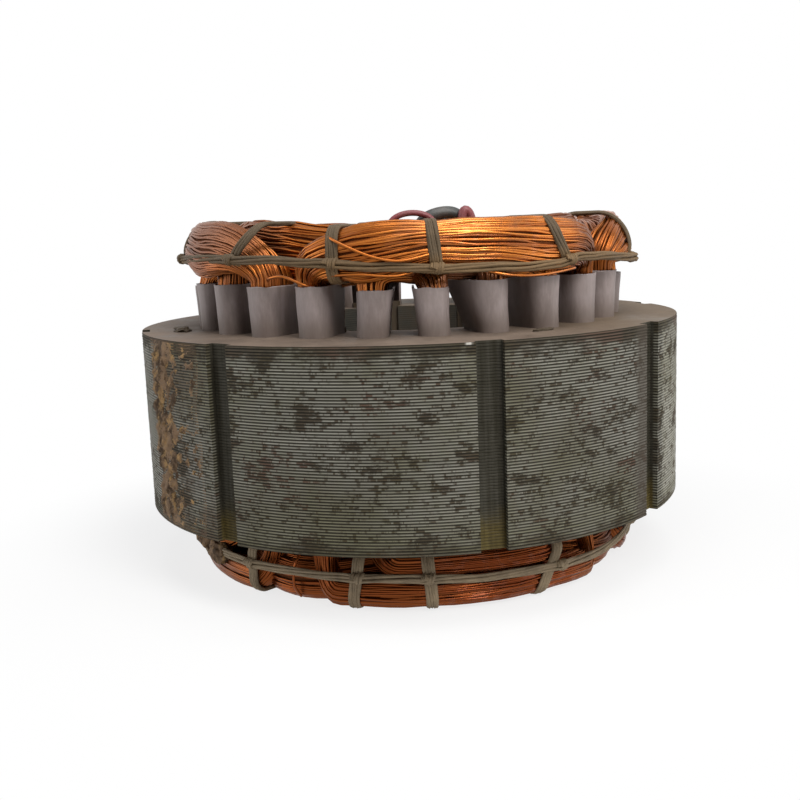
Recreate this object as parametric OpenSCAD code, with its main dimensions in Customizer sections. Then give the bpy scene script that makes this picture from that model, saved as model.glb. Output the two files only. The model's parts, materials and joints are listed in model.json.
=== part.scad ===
// Wound stator of a four-pole single-phase motor: a slotted lamination stack,
// paper slot liners, twelve coils, and the cord that laces the coil ends.
// Millimetres. Origin on the axis, under the lower end turns; +Z along the axis, up.
// The axis of the first pole points along -Y.

/* [Core] */
// Outside diameter of the lamination stack
core_od = 150; // [144:1:170]
// Width of the stack's ring, from the bore to the outside
ring_w = 34; // [31:0.5:38]
// Length of the stack along the axis
core_len = 48; // [30:1:90]
// Share of the width of the stack's ring that lies behind the slots
yoke_share = 0.453; // [0.4:0.001:0.48]
// Share of the slot pitch at the bore that a tooth takes up
tooth_share = 0.634; // [0.58:0.002:0.66]
// Width of the mouth of a slot at the bore
slot_mouth = 2.2; // [1.8:0.1:2.4]
// Thickness of the tip of a tooth at the mouth
tip_t = 1; // [0.8:0.1:1.3]
// Corner radius at the bottom of a slot
slot_round = 3.6; // [2:0.1:3.6]
// Width of a groove in the outside of the stack
groove_w = 6.6; // [4:0.1:9]
// Depth of a groove in the outside of the stack
groove_depth = 2.1; // [1:0.1:3.5]
// Angle from the groove on the axis of a pole to the groove beside it
groove_angle = 39.3; // [30:0.1:60]

/* [Slot insulation] */
// Thickness of the liner paper
liner_t = 0.45; // [0.3:0.05:0.6]
// Mean height of the liners above the stack
liner_top = 12; // [10:0.1:12.4]
// Height of the liners below the stack
liner_low = 3.6; // [2:0.1:3.8]
// Length of a wedge beyond each end of the stack
wedge_out = 1.5; // [0.5:0.1:2.5]

/* [Winding] */
// Height of the upper end turns above the stack
top_over = 26.4; // [24:0.1:34]
// Height of the lower end turns below the stack
low_over = 17; // [16:0.1:26]
// Height of the space under the upper end turns
top_space = 13.4; // [13.4:0.1:15]
// Height of the space over the lower end turns
low_space = 4.5; // [4.5:0.1:6]
// How far the end turns stand out past the slot bottoms
end_bulge = 2.3; // [1:0.1:5]
// Rise of the underside of the outer end turns at the middle of a pole
arch = 3; // [0:0.1:4]
// How far the inner coils' upper end turns stay below the others
inner_drop = 1.8; // [1.4:0.1:3]
// Space kept between the end turns and the bore
bore_space = 2; // [1.9:0.1:4]
// Clearance between neighbouring pieces
gap = 0.3; // [0.2:0.05:0.4]

/* [Lacing and leads] */
// Width of the lacing cord
cord_w = 2.4; // [1.4:0.1:2.6]
// Thickness of the lacing cord where it is pulled flat
cord_t = 1; // [0.7:0.05:1.2]
// Height of the upper lacing band above the stack
top_band_z = 17.4; // [16:0.1:20]
// Diameter of a sleeved lead
lead_d = 2; // [1.6:0.1:2.4]
// Height of the arch of a lead above the coil that it leaves
lead_rise = 4.2; // [3.4:0.1:5]

/* [Hidden] */
$fn = 128;
slots = 24;
poles = 4;
step = 360 / slots;
half = step / 2;
pole_step = 360 / poles;
first = -90;
core_r = core_od / 2;
bore_r = core_r - ring_w;
slot_r = core_r - yoke_share * ring_w;
tooth_w = tooth_share * bore_r * step * PI / 180;
core_z = low_over + cord_t + gap;
top_z = core_z + core_len;
mouth_x = bore_r + tip_t;
body_x = mouth_x + 1.6 * tip_t;
wedge_a = mouth_x + 0.35 * tip_t;
wedge_b = body_x + 0.9 * tip_t;
liner_x = wedge_b + gap;
liner_gap = 0.4 * gap;
coil_inset = liner_gap + liner_t + gap;
coil_in = liner_x + 0.6 * gap;
coil_out = slot_r - coil_inset;
liner_step = [0.02, -0.08, -0.06, 0.04, 0.05, 0.02];
end_r = slot_r + end_bulge;
end_in = bore_r + bore_space;
layer = (end_r - end_in - 2 * gap) / 3;
low_split = end_in + 0.54 * (end_r - end_in);
tier_z = low_space + 0.44 * (low_over - low_space);
band_r = end_r + 1.5 * gap + 1.5 * cord_t;
cord_bend = 0.8 * cord_w;
top_h = top_over - top_space;
low_h = low_over - low_space;
top_mouth_z = 0.95 * liner_top;
outer_turn = top_h;
inner_turn = 0.62 * top_h;
low_turn = 0.56 * low_h;
tier_turn = 0.32 * low_h;
sides = 10;
cord_sides = 6;
loop_angles_top = [-89, -57, -30, -9, 24, 61, 91, 121, 151, 181, 211, 241];
loop_angles_low = [-85, -56, -28, -11, 21, 62, 90, 120, 151, 179, 210, 243];

// Half the width of a slot at a distance from the axis, less an inset from its walls.
function half_w(x, inset) = x * tan(half) - (tooth_w / 2 + inset) / cos(half);

// Outline of a slot body inset from its walls, from x0 out to the rounded bottom and back.
function slot_line(x0, inset) =
  let (rho = max(min(slot_round, 0.82 * half_w(slot_r, 0)) - inset, gap))
  let (cx = slot_r - inset - rho)
  let (cy = half_w(cx, inset) - rho / cos(half))
  concat(
    [[x0, -half_w(x0, inset)]],
    [for (t = [0:1:5]) let (q = -(90 + half) * (1 - t / 5)) [cx + rho * cos(q), -cy + rho * sin(q)]],
    [for (t = [0:1:5]) let (q = (90 + half) * t / 5) [cx + rho * cos(q), cy + rho * sin(q)]],
    [[x0, half_w(x0, inset)]]
  );

// A list of points, last first.
function flip(list) = [for (i = [len(list) - 1:-1:0]) list[i]];

// The angle of the middle of slot k; slots 0 to 5 lie round the first pole.
function slot_angle(k) = first - 2.5 * step + k * step;

// Signed power, for rounded-rectangle sections.
function spow(v, p) = sign(v) * pow(abs(v), p);

// Smooth change from 0 to 1.
function ease(t) = let (u = min(max(t, 0), 1)) u * u * (3 - 2 * u);

// Straight change from one value to another.
function mix(a, b, t) = a + (b - a) * t;

// One cross-section of a coil: centre radius, angle and height, half sizes along the radius
// and across, turn of the path (0 up, 90 forward, 180 down, 270 back), and taper.
function ring(r, a, z, hr, hc, turn, taper) =
  let (out = [cos(a), sin(a), 0])
  let (fore = [-sin(a), cos(a), 0])
  let (cross_dir = fore * cos(turn) - [0, 0, sin(turn)])
  [for (i = [0:sides - 1])
    let (q = 360 * (i + 0.5) / sides)
    let (u = spow(cos(q), 0.7))
    let (v = spow(sin(q), 0.7))
    out * (r + hr * u) + [0, 0, z] + cross_dir * (hc * v * (1 + taper * u))];

// Triangles over a closed run of cross-sections.
function loop_mesh(n, m) = [
  for (k = [0:n - 1]) for (i = [0:m - 1])
    let (a = k * m + i)
    let (b = k * m + (i + 1) % m)
    let (c = ((k + 1) % n) * m + (i + 1) % m)
    let (d = ((k + 1) % n) * m + i)
    each [[a, c, b], [a, d, c]]
];

// Triangles over an open run of cross-sections, with flat ends.
function tube_mesh(n, m) = concat(
  [for (k = [0:n - 2]) for (i = [0:m - 1])
    let (a = k * m + i)
    let (b = k * m + (i + 1) % m)
    let (c = (k + 1) * m + (i + 1) % m)
    let (d = (k + 1) * m + i)
    each [[a, c, b], [a, d, c]]],
  [[for (i = [0:m - 1]) i]],
  [[for (i = [m - 1:-1:0]) (n - 1) * m + i]]
);

// Sizes of a coil side inside its slot.
slot_c = (coil_in + coil_out) / 2;
slot_h = (coil_out - coil_in) / 2;
side_w = half_w(slot_c, coil_inset);
side_taper = (half_w(coil_out, coil_inset) - side_w) / side_w;

// Quarter of a coil from the middle of its slot to the middle of an end turn: for each
// cross-section the radius, the angle from the coil's middle, the height from the face of
// the stack, the half sizes along the radius and across, the turn and the taper.
function quarter(span, rl, hl, z_in, z_out, z_mouth, rm, hm, corner, rise) =
  let (zc = (z_in + z_out) / 2)
  let (hz = (z_out - z_in) / 2)
  let (da = corner / rl * 180 / PI)
  concat(
    [[slot_c, span, -0.48 * core_len, slot_h, side_w, 0, side_taper]],
    [[slot_c, span, -0.12 * core_len, slot_h, side_w, 0, side_taper]],
    [[rm, span, z_mouth, hm, half_w(rm - hm, coil_inset), 0, 0]],
    [for (j = [1:5])
      let (f = j / 5)
      [mix(rm, rl, ease(f)), span - da * (1 - cos(90 * f)), z_mouth + (zc - z_mouth) * sin(90 * f),
       mix(hm, hl, f), mix(half_w(rm - hm, coil_inset), hz, f), 90 * f, 0]],
    [for (j = [1:4])
      let (up = rise * ease(j / 3.6))
      [rl, (span - da) * (1 - j / 4.5), zc + up / 2, hl, hz - up / 2, 90, 0]]
  );

// The four quarters of a coil joined into one closed loop of cross-sections.
function coil_rings(c, top, low) =
  let (n = len(top))
  let (m = len(low))
  concat(
    [for (i = [0:n - 1]) let (s = top[i]) ring(s[0], c - s[1], top_z + s[2], s[3], s[4], s[5], s[6])],
    [for (i = [n - 1:-1:0]) let (s = top[i]) ring(s[0], c + s[1], top_z + s[2], s[3], s[4], 180 - s[5], s[6])],
    [for (i = [0:m - 1]) let (s = low[i]) ring(s[0], c + s[1], core_z - s[2], s[3], s[4], 180 + s[5], s[6])],
    [for (i = [m - 1:-1:0]) let (s = low[i]) ring(s[0], c - s[1], core_z - s[2], s[3], s[4], 360 - s[5], s[6])]
  );

// A solid over a closed loop of cross-sections.
module closed_solid(rings, m) {
  polyhedron(points = [for (r = rings) each r], faces = loop_mesh(len(rings), m), convexity = 10);
}

// Stack of laminations with the rotor bore, the winding slots and the outside grooves.
module lamination_core() {
  color("#8d8c80")
  translate([0, 0, core_z])
  difference() {
    cylinder(r = core_r, h = core_len);
    translate([0, 0, -1])
    cylinder(r = bore_r, h = core_len + 2);
    for (k = [0:slots - 1]) {
      rotate([0, 0, slot_angle(k)])
      translate([0, 0, -1])
      linear_extrude(core_len + 2)
      polygon(concat(
        [[bore_r - 2, -slot_mouth / 2], [mouth_x, -slot_mouth / 2]],
        slot_line(body_x, 0),
        [[mouth_x, slot_mouth / 2], [bore_r - 2, slot_mouth / 2]]
      ));
    }
    for (k = [0:poles - 1]) {
      for (off = [0, groove_angle]) {
        rotate([0, 0, first + k * pole_step + off])
        translate([core_r - groove_depth, -groove_w / 2, -1])
        cube([groove_depth + 5, groove_w, core_len + 2]);
      }
    }
  }
}

// Folded paper sleeve in slot k, open towards the bore.
module slot_liner(k) {
  color("#b9afa8")
  rotate([0, 0, slot_angle(k)])
  translate([0, 0, core_z - liner_low])
  linear_extrude(core_len + liner_low + liner_top * (1 + liner_step[k % 6]))
  polygon(concat(
    slot_line(liner_x, liner_gap),
    flip(slot_line(liner_x, liner_gap + liner_t))
  ));
}

// Strips that close the slot mouths.
module slot_wedges() {
  color("#9c8f78")
  for (k = [0:slots - 1]) {
    rotate([0, 0, slot_angle(k)])
    translate([0, 0, core_z - wedge_out])
    linear_extrude(core_len + 2 * wedge_out)
    polygon([
      [wedge_a, -slot_mouth / 2],
      [body_x, -half_w(body_x, gap / 2)],
      [wedge_b, -half_w(wedge_b, gap / 2)],
      [wedge_b, half_w(wedge_b, gap / 2)],
      [body_x, half_w(body_x, gap / 2)],
      [wedge_a, slot_mouth / 2]
    ]);
  }
}

// Outer coil of pole p: five slots wide, in the outer layer above and the lower tier below.
module main_outer_coil(p) {
  rl = end_r - layer / 2;
  top_mouth = coil_out - layer / 2;
  tier_h = (end_r - low_split - gap) / 2;
  mouth_h = (coil_out - low_split - gap) / 2;
  color("#c8762c")
  closed_solid(coil_rings(
    first + p * pole_step,
    quarter(2.5 * step, rl, layer / 2, top_space, top_over, top_mouth_z,
      top_mouth, layer / 2, outer_turn, arch),
    quarter(2.5 * step, end_r - tier_h, tier_h, tier_z + gap, low_over, liner_low,
      coil_out - mouth_h, mouth_h, low_turn, 0)
  ), sides);
}

// Inner coil of pole p: three slots wide, in the middle layer above and the upper tier below.
module main_inner_coil(p) {
  rl = end_in + 1.5 * layer + gap;
  tier_h = (end_r - low_split - gap) / 2;
  mouth_h = (coil_out - low_split - gap) / 2;
  color("#b9651f")
  closed_solid(coil_rings(
    first + p * pole_step,
    quarter(1.5 * step, rl, layer / 2, top_space, top_over - inner_drop, top_mouth_z,
      rl, layer / 2, inner_turn, 0),
    quarter(1.5 * step, end_r - tier_h, tier_h, low_space, tier_z, liner_low,
      coil_out - mouth_h, mouth_h, tier_turn, 0)
  ), sides);
}

// Start coil between pole p and the next: five slots wide, in the inner layer at both ends.
module start_coil(p) {
  rl = end_in + layer / 2;
  mouth_h = (end_in + layer - coil_in - gap) / 2;
  in_h = (low_split - end_in - gap) / 2;
  low_m = (low_split - gap - coil_in) / 2;
  color("#d0843a")
  closed_solid(coil_rings(
    first + (p + 0.5) * pole_step,
    quarter(2.5 * step, rl, layer / 2, top_space, top_over, top_mouth_z,
      coil_in + mouth_h, mouth_h, outer_turn, 0),
    quarter(2.5 * step, end_in + in_h, in_h, low_space, low_over, liner_low,
      coil_in + low_m, low_m, low_turn, 0)
  ), sides);
}

// Closed run of flattened cord round the end turns: from ri to ro and from zl to zh, passing
// between the coil sides at angle a_slot and lying over the coils at angle a_face.
function cord_rings(ri, ro, zl, zh, low_end, a_slot, a_face) =
  let (rc = cord_bend)
  let (stops = [
    [ro - rc, zl, -90], [ro - rc * 0.29, zl + rc * 0.29, -45], [ro, zl + rc, 0],
    [ro, mix(zl, zh, 0.5), 0],
    [ro, zh - rc, 0], [ro - rc * 0.29, zh - rc * 0.29, 45], [ro - rc, zh, 90],
    [ri + rc, zh, 90], [ri + rc * 0.29, zh - rc * 0.29, 135], [ri, zh - rc, 180],
    [ri, mix(zl, zh, 0.5), 180],
    [ri, zl + rc, 180], [ri + rc * 0.29, zl + rc * 0.29, 225], [ri + rc, zl, 270]
  ])
  [for (s = stops)
    let (f = ease((s[1] - zl - rc) / (zh - zl - 2 * rc)))
    let (a = mix(a_slot, a_face, low_end ? 1 - f : f))
    let (out = [cos(a), sin(a), 0])
    let (fore = [-sin(a), cos(a), 0])
    let (norm = out * cos(s[2]) + [0, 0, sin(s[2])])
    [for (i = [0:cord_sides - 1])
      let (q = 360 * i / cord_sides)
      out * s[0] + [0, 0, s[1]] + fore * (cord_w / 2 * cos(q)) + norm * (cord_t / 2 * sin(q) / sin(60))]];

// The tooth nearest to an angle measured from the first pole.
function tooth_near(a) = step * round(a / step);

// Cord loops round the upper end turns.
module top_lacing_loops() {
  off = cord_t / 2 + gap / 2;
  color("#7c7058")
  for (a = loop_angles_top) {
    closed_solid(cord_rings(
      end_in - off, end_r + off,
      top_z + top_space - off - gap, top_z + top_over + off,
      false, first + tooth_near(a), first + a
    ), cord_sides);
  }
}

// Cord loops round the lower end turns; the part stands on them.
module low_lacing_loops() {
  off = cord_t / 2 + gap;
  color("#7c7058")
  for (a = loop_angles_low) {
    closed_solid(cord_rings(
      end_in - off + gap / 2, end_r + off - gap / 2,
      core_z - low_over - off, core_z - low_space + off,
      true, first + tooth_near(a), first + a
    ), cord_sides);
  }
}

// Ring of flattened cord round the outside of the end turns, over the loops.
module lacing_band(z) {
  color("#857a62")
  translate([0, 0, z])
  rotate_extrude()
  translate([band_r, 0])
  polygon([
    [-cord_t / 2, -cord_w / 4], [-cord_t / 4, -cord_w / 2], [cord_t / 4, -cord_w / 2], [cord_t / 2, -cord_w / 4],
    [cord_t / 2, cord_w / 4], [cord_t / 4, cord_w / 2], [-cord_t / 4, cord_w / 2], [-cord_t / 2, cord_w / 4]
  ]);
}

// Cord round the upper end turns.
module top_lacing_band() {
  lacing_band(top_z + top_band_z);
}

// Cord round the lower end turns, between the two tiers.
module low_lacing_band() {
  lacing_band(core_z - tier_z - gap / 2);
}

// Lead standing on the inner coil of the first pole, arched from angle a0 to angle a1 at radius r.
// A skew above zero moves the top of the arch towards a1.
module lead(r, a0, a1, rise, skew) {
  z0 = top_z + top_over - inner_drop + gap;
  rings = [for (t = [0:12])
    let (f = t / 12)
    let (q = 180 * f)
    let (s = (1 - cos(q)) / 2)
    let (a = first + mix(a0, a1, s + skew * s * (1 - s)))
    let (lift = pow(sin(q), 0.75) * (rise - lead_d / 2))
    let (out = [cos(a), sin(a), 0])
    let (fore = [-sin(a), cos(a), 0])
    let (span = (a1 - a0) * PI / 180 * r / 2)
    let (up = [0, 0, 1])
    let (path = fore * (span * sin(q) * (1 + skew * (1 - 2 * s))) + up * ((rise - lead_d / 2) * cos(q) * 1.2))
    let (norm = cross(path / norm(path), out))
    [for (i = [0:9])
      let (w = 36 * i)
      out * (r + lead_d / 2 * cos(w)) + up * (z0 + lift) - norm * (lead_d / 2 * sin(w))]];
  polyhedron(points = [for (s = rings) each s], faces = tube_mesh(13, 10), convexity = 4);
}

// Red sleeved lead that arches over the front of the upper end turns.
module red_lead_left() {
  color("#8a3f42")
  lead(end_in + 1.5 * layer + gap + lead_d / 2 + gap / 2, -18, -6, lead_rise, 0);
}

// Black sleeved lead beside it.
module black_lead() {
  color("#33352f")
  lead(end_in + 1.5 * layer + gap - lead_d / 2 - gap / 2, -10, 1.6, lead_rise + 0.8, 0.5);
}

// Red sleeved lead that the black one meets.
module red_lead_right() {
  color("#8a3f42")
  lead(end_in + 1.5 * layer + gap + lead_d / 2 + gap / 2, 0, 6, lead_rise + 0.8, -0.5);
}

lamination_core();
slot_liner(0);  // slot_liner_01
slot_liner(1);  // slot_liner_02
slot_liner(2);  // slot_liner_03
slot_liner(3);  // slot_liner_04
slot_liner(4);  // slot_liner_05
slot_liner(5);  // slot_liner_06
slot_liner(6);  // slot_liner_07
slot_liner(7);  // slot_liner_08
slot_liner(8);  // slot_liner_09
slot_liner(9);  // slot_liner_10
slot_liner(10);  // slot_liner_11
slot_liner(11);  // slot_liner_12
slot_liner(12);  // slot_liner_13
slot_liner(13);  // slot_liner_14
slot_liner(14);  // slot_liner_15
slot_liner(15);  // slot_liner_16
slot_liner(16);  // slot_liner_17
slot_liner(17);  // slot_liner_18
slot_liner(18);  // slot_liner_19
slot_liner(19);  // slot_liner_20
slot_liner(20);  // slot_liner_21
slot_liner(21);  // slot_liner_22
slot_liner(22);  // slot_liner_23
slot_liner(23);  // slot_liner_24
slot_wedges();
main_outer_coil(0);  // main_outer_coil_1
main_outer_coil(1);  // main_outer_coil_2
main_outer_coil(2);  // main_outer_coil_3
main_outer_coil(3);  // main_outer_coil_4
main_inner_coil(0);  // main_inner_coil_1
main_inner_coil(1);  // main_inner_coil_2
main_inner_coil(2);  // main_inner_coil_3
main_inner_coil(3);  // main_inner_coil_4
start_coil(0);  // start_coil_1
start_coil(1);  // start_coil_2
start_coil(2);  // start_coil_3
start_coil(3);  // start_coil_4
top_lacing_loops();
top_lacing_band();
low_lacing_loops();
low_lacing_band();
red_lead_left();
black_lead();
red_lead_right();
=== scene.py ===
"""Looks of a wound motor stator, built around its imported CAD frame."""

import functools
import json
import math

import bmesh
import bpy
import numpy as np
from mathutils import Matrix, Vector, noise


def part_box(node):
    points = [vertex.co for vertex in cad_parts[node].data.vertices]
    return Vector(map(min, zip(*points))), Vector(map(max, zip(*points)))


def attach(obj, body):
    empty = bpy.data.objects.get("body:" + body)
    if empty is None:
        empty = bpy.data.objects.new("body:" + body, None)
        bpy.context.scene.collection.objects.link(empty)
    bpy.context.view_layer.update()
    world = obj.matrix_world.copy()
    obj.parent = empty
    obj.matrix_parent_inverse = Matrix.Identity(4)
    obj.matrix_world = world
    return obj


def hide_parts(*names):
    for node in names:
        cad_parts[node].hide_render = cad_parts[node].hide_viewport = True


bl_info = {
    "name": "Wound Stator",
    "version": (1, 0, 0),
    "blender": (4, 5, 0),
    "location": "3D View > Sidebar > Stator",
    "description": "Dresses a motor stator: sheet edges, paper liners, wire bundles and lacing",
    "category": "Object",
}

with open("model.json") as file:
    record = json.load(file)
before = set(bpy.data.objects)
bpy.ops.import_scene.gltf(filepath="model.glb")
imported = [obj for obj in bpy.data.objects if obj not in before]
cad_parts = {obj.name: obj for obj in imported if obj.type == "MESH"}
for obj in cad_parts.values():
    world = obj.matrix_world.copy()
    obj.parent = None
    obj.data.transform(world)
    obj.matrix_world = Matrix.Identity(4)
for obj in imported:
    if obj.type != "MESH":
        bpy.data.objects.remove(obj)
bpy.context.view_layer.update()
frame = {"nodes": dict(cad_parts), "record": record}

MM = 0.001
SLOTS = 24
POLES = 4
STEP = 360.0 / SLOTS
POLE_STEP = 360.0 / POLES
FULL_TURN = 2 * math.pi
UP = Vector((0.0, 0.0, 1.0))


def mount_radius(name):
    """Radius in millimetres of one of the record's round mounts."""
    for mount in frame["record"]["mounts"]:
        if mount["name"] == name:
            return mount["dims"]["r_mm"]
    raise RuntimeError("the record has no mount named " + name)


# Sizes in millimetres, the same as the part's source.
CORE_R = mount_radius("frame_fit")
BORE_R = mount_radius("rotor_bore")
RING_W = CORE_R - BORE_R
CORE_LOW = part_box("lamination_core")[0].z / MM
CORE_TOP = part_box("lamination_core")[1].z / MM
CORE_LEN = CORE_TOP - CORE_LOW
GAP = 0.3
SLOT_R = CORE_R - 0.453 * RING_W
TOOTH_W = 0.634 * BORE_R * math.radians(STEP)
SLOT_MOUTH = 2.2
SLOT_ROUND = 3.6
TIP_T = 1.0
MOUTH_X = BORE_R + TIP_T
BODY_X = MOUTH_X + 1.6 * TIP_T
LINER_X = BODY_X + 0.9 * TIP_T + GAP
LINER_GAP = 0.4 * GAP
LINER_T = 0.45
LINER_TOP = 12.0
LINER_LOW = 3.6
COIL_IN = LINER_X + 0.6 * GAP
COIL_OUT = SLOT_R - LINER_GAP - LINER_T - GAP
GROOVE_W = 6.6
GROOVE_DEPTH = 2.1
GROOVE_ANGLE = 39.3
TOP_OVER = 26.4
LOW_OVER = 17.0
TOP_SPACE = 13.4
LOW_SPACE = 4.5
END_R = SLOT_R + 2.3
END_IN = BORE_R + 2.0
LAYER = (END_R - END_IN - 2 * GAP) / 3
INNER_COIL_R = END_IN + 1.5 * LAYER + GAP
INNER_COIL_DROP = 1.8
LOW_SPLIT = END_IN + 0.54 * (END_R - END_IN)
TIER_Z = LOW_SPACE + 0.44 * (LOW_OVER - LOW_SPACE)
CORD_T = 1.0
WIDE_SPAN = 2.5 * STEP
NARROW_SPAN = 1.5 * STEP

# Sizes of the scene alone. A sheet's bevel, as a share of its height.
BEVEL = 0.24
# A bundle: the share of it that the filling takes, how square it is, and the degrees that a loop pinches.
FILLING = 0.83
SQUARENESS = 0.8
PINCH_WIDE = 4.5
# A cord: half its width and thickness before twisting, and half the way between two laid side by side,
# as shares of its diameter.
CORD_HALF_W, CORD_HALF_T, CORD_BESIDE = 0.36, 0.12, 0.34
# A liner: how far its top flares and how far it waves.
LINER_FLARE, LINER_WAVE = 0.42, 0.32
# The roughness of a lump, as a share of its size.
LUMP_ROUGH = 0.34

# The front liners, from the left: share added to the height, which repeats round the ring,
# lean and splay of the left edge.
LINER_STEP = (0.02, -0.08, -0.06, 0.04, 0.05, 0.02)
LINER_LEAN = (0.2, 1.0, -0.8, -1.0, -0.6, -0.2)
LINER_SPLAY = (0.0, 0.0, 0.0, 3.9, 0.8, 0.4)
# Rows of points up a liner, as shares of its height over the stack.
LINER_ROWS = (0.025, 0.1, 0.2, 0.33, 0.46, 0.6, 0.72, 0.83, 0.92, 0.98, 1.0)

# The upper ring by pole: its rise, the length of its corners and how far its top leans in over its
# outer face, as a share of its height; and its dip left of the front.
POLE_RISE = (0.2, 1.0, 0.6, 1.9)
POLE_CORNER = (13.0, 14.0, 13.0, 18.0)
POLE_LEAN = (0.0, 0.34, 0.0, 0.34)
LEAN_Z = 19.0
DIP, DIP_ANGLE, DIP_WIDE = 1.0, -38.0, 15.0

# Cord loops: angle at the far end and at the near end of the outer face, height where they turn in
# and height of the far end.
LOOPS_TOP = (
    (-89, -89, 16.8, 26.4), (-51, -57, 17.0, 26.4), (-29.6, -29.7, 13.2, 26.4), (-8.2, -7.3, 14.8, 26.4),
    (20, 24.8, 14.6, 26.4), (61, 61, 14.4, 26.4), (91, 91, 16.4, 26.4), (121, 121, 16, 26.4),
    (151, 151, 16, 26.4), (181, 181, 16, 26.4), (211, 211, 16, 26.4), (241, 241, 16, 26.4))
LOOPS_LOW = (
    (-85, -85, 5, 15.4), (-56, -56, 4, 17.2), (-28.3, -26.9, 4, 17.6), (-10.4, -11.3, 4, 17.6),
    (16, 21, 4, 17.6), (62, 62, 5, 15.6), (90, 90, 4, 17), (120, 120, 4, 16.4),
    (151, 151, 4, 16.4), (179, 179, 4, 17), (210, 210, 4, 16.4), (243, 243, 4, 16.4))
# Height of the cord band from the stack, by angle.
BAND_TOP = (
    (-89, 19.0), (-67, 19.2), (-46, 18.8), (-34, 17.9), (-19, 16.5), (-8, 15.8), (5, 15.6), (12.5, 15.2),
    (21, 15.4), (28, 16.9), (34, 16.6), (61, 15.2), (121, 17.0), (181, 17.8), (241, 17.2))
BAND_LOW = (
    (-85, 9.4), (-64, 9.4), (-41, 9.2), (-17, 9.3), (5, 10.4), (35, 11.2), (62, 10.2), (120, 10.0),
    (179, 10.3), (243, 9.8))

# Stray wires: angle, radius and height from the top of the stack.
STRAY_WIRES = (
    ((-50, 57.0, 13.6), (-46.6, 60.6, 14.4), (-42.4, 61.0, 14.8), (-37.4, 60.2, 12.8), (-36, 57.5, 12.0)),
    ((-31, 61.2, 24.2), (-28, 62.9, 22.4), (-21, 63.1, 19.0), (-15, 63.0, 17.8), (-8, 61.8, 19.2)),
    ((27, 62.2, 14.2), (17, 62.8, 13.2), (9, 62.7, 13.5), (2, 61.2, 15.2)),
    ((-42.3, 59.8, -53.0), (-42.8, 61.9, -56.0), (-43.2, 61.9, -61.0), (-43.0, 59.5, -64.6)),
    ((-31, 61.5, 14.8), (-24, 62.7, 15.0), (-16, 62.4, 14.4), (-10, 60.6, 16.0)))
STRAY_TONE = 0.4
# Lumps and crumbs: angle, radius, height, half sizes along, across and up.
LUMPS = {
    "varnish_lump_left": (-80, 61.8, CORE_LOW - 7.4, 6.5, 3.0, 4.2),
    "varnish_lump_small": (-72.5, 61.6, CORE_LOW - 10.2, 5.2, 2.3, 3.2),
    "crumb_left": (-84, 64.6, CORE_TOP + 0.25, 4.6, 2.2, 1.0),
    "crumb_right": (16.4, 63.2, CORE_TOP + 0.2, 3.0, 0.8, 0.5),
}
# The rust run: angle of its middle, half its width in degrees, cells across and up.
CRUST_ANGLE = -66.5
CRUST_HALF = 10.0
CRUST_GRID = (64, 130)

# The photograph's viewpoint: angle round the axis from the first pole, distance, height
# above the top of the stack, aim and lens.
VIEW_ANGLE = -13.7
VIEW_DISTANCE = 295.5
VIEW_HEIGHT = 24.8
VIEW_PITCH = 9.47
VIEW_YAW = -0.64
VIEW_ROLL = -2.11
VIEW_LENS = 45.99
# Soft boxes: place from the viewpoint's side, width in metres, power and tint.
LAMPS = {
    "key": ((230, -400, 410), 0.28, 2.1, (1.0, 0.98, 0.95)),
    "fill": ((480, -90, 160), 0.40, 0.56, (0.97, 0.98, 1.0)),
    "side": ((-480, -60, 170), 0.40, 0.92, (0.97, 0.98, 1.0)),
    "over": ((60, -160, 560), 0.40, 1.8, (1.0, 1.0, 1.0)),
}
LAMP_AIM = Vector((0, 0, 0.05))
SENSOR = 36.0
# The floor's radius in millimetres, and where it starts to fade and where it is white, in metres.
FLOOR_R = 9000
FLOOR_FADE = (0.085, 0.15)


def length_prop(label, text, metres):
    """A length for the sidebar."""
    return bpy.props.FloatProperty(
        name=label, description=text, default=metres, unit="LENGTH", subtype="DISTANCE")


def count_prop(label, text, count):
    """A whole number for the sidebar."""
    return bpy.props.IntProperty(name=label, description=text, default=count)


def colour_prop(label, text, *rgb):
    """A colour for the sidebar."""
    return bpy.props.FloatVectorProperty(
        name=label, description=text, default=rgb, size=3, min=0, max=1, subtype="COLOR")


class StatorSizes(bpy.types.PropertyGroup):
    """Sizes of the dressed pieces"""

    wire_d: length_prop("Wire", "Diameter of the enamelled wire", 0.00072)
    sheet_pitch: length_prop("Sheet pitch", "Height of one lamination", 0.000706)
    sheet_notch: length_prop("Sheet notch", "Depth of the gap between two sheet edges", 0.00013)
    cord_d: length_prop("Lacing cord", "Diameter of the twisted lacing cord", 0.0017)
    outer_wires: count_prop("Outer coil wires", "Wires that show round an outer coil", 112)
    inner_wires: count_prop("Inner coil wires", "Wires that show round an inner coil", 72)
    start_wires: count_prop("Start coil wires", "Wires that show round a start coil", 84)


class StatorColours(bpy.types.PropertyGroup):
    """Colours of the dressed pieces"""

    copper: colour_prop("Copper", "Enamelled copper wire", 0.53, 0.172, 0.027)
    steel: colour_prop("Sheet steel", "Edges of the laminations", 0.224, 0.217, 0.183)
    rust: colour_prop("Rust", "Brown rust and old varnish on the stack", 0.050, 0.035, 0.021)
    dust: colour_prop("Dust", "Tan dust on the end faces of the stack", 0.17, 0.128, 0.098)
    paper: colour_prop("Liner paper", "Slot liner paper", 0.276, 0.231, 0.221)
    cord: colour_prop("Lacing cord", "Varnished lacing cord", 0.158, 0.101, 0.050)
    red: colour_prop("Red sleeve", "Red lead sleeve", 0.17, 0.032, 0.036)
    black: colour_prop("Black sleeve", "Black lead sleeve", 0.022, 0.024, 0.022)


def sizes():
    """The sizes that the sidebar shows."""
    return bpy.context.scene.stator_sizes


def colours():
    """The colours that the sidebar shows."""
    return bpy.context.scene.stator_colours


# Shapes

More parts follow.
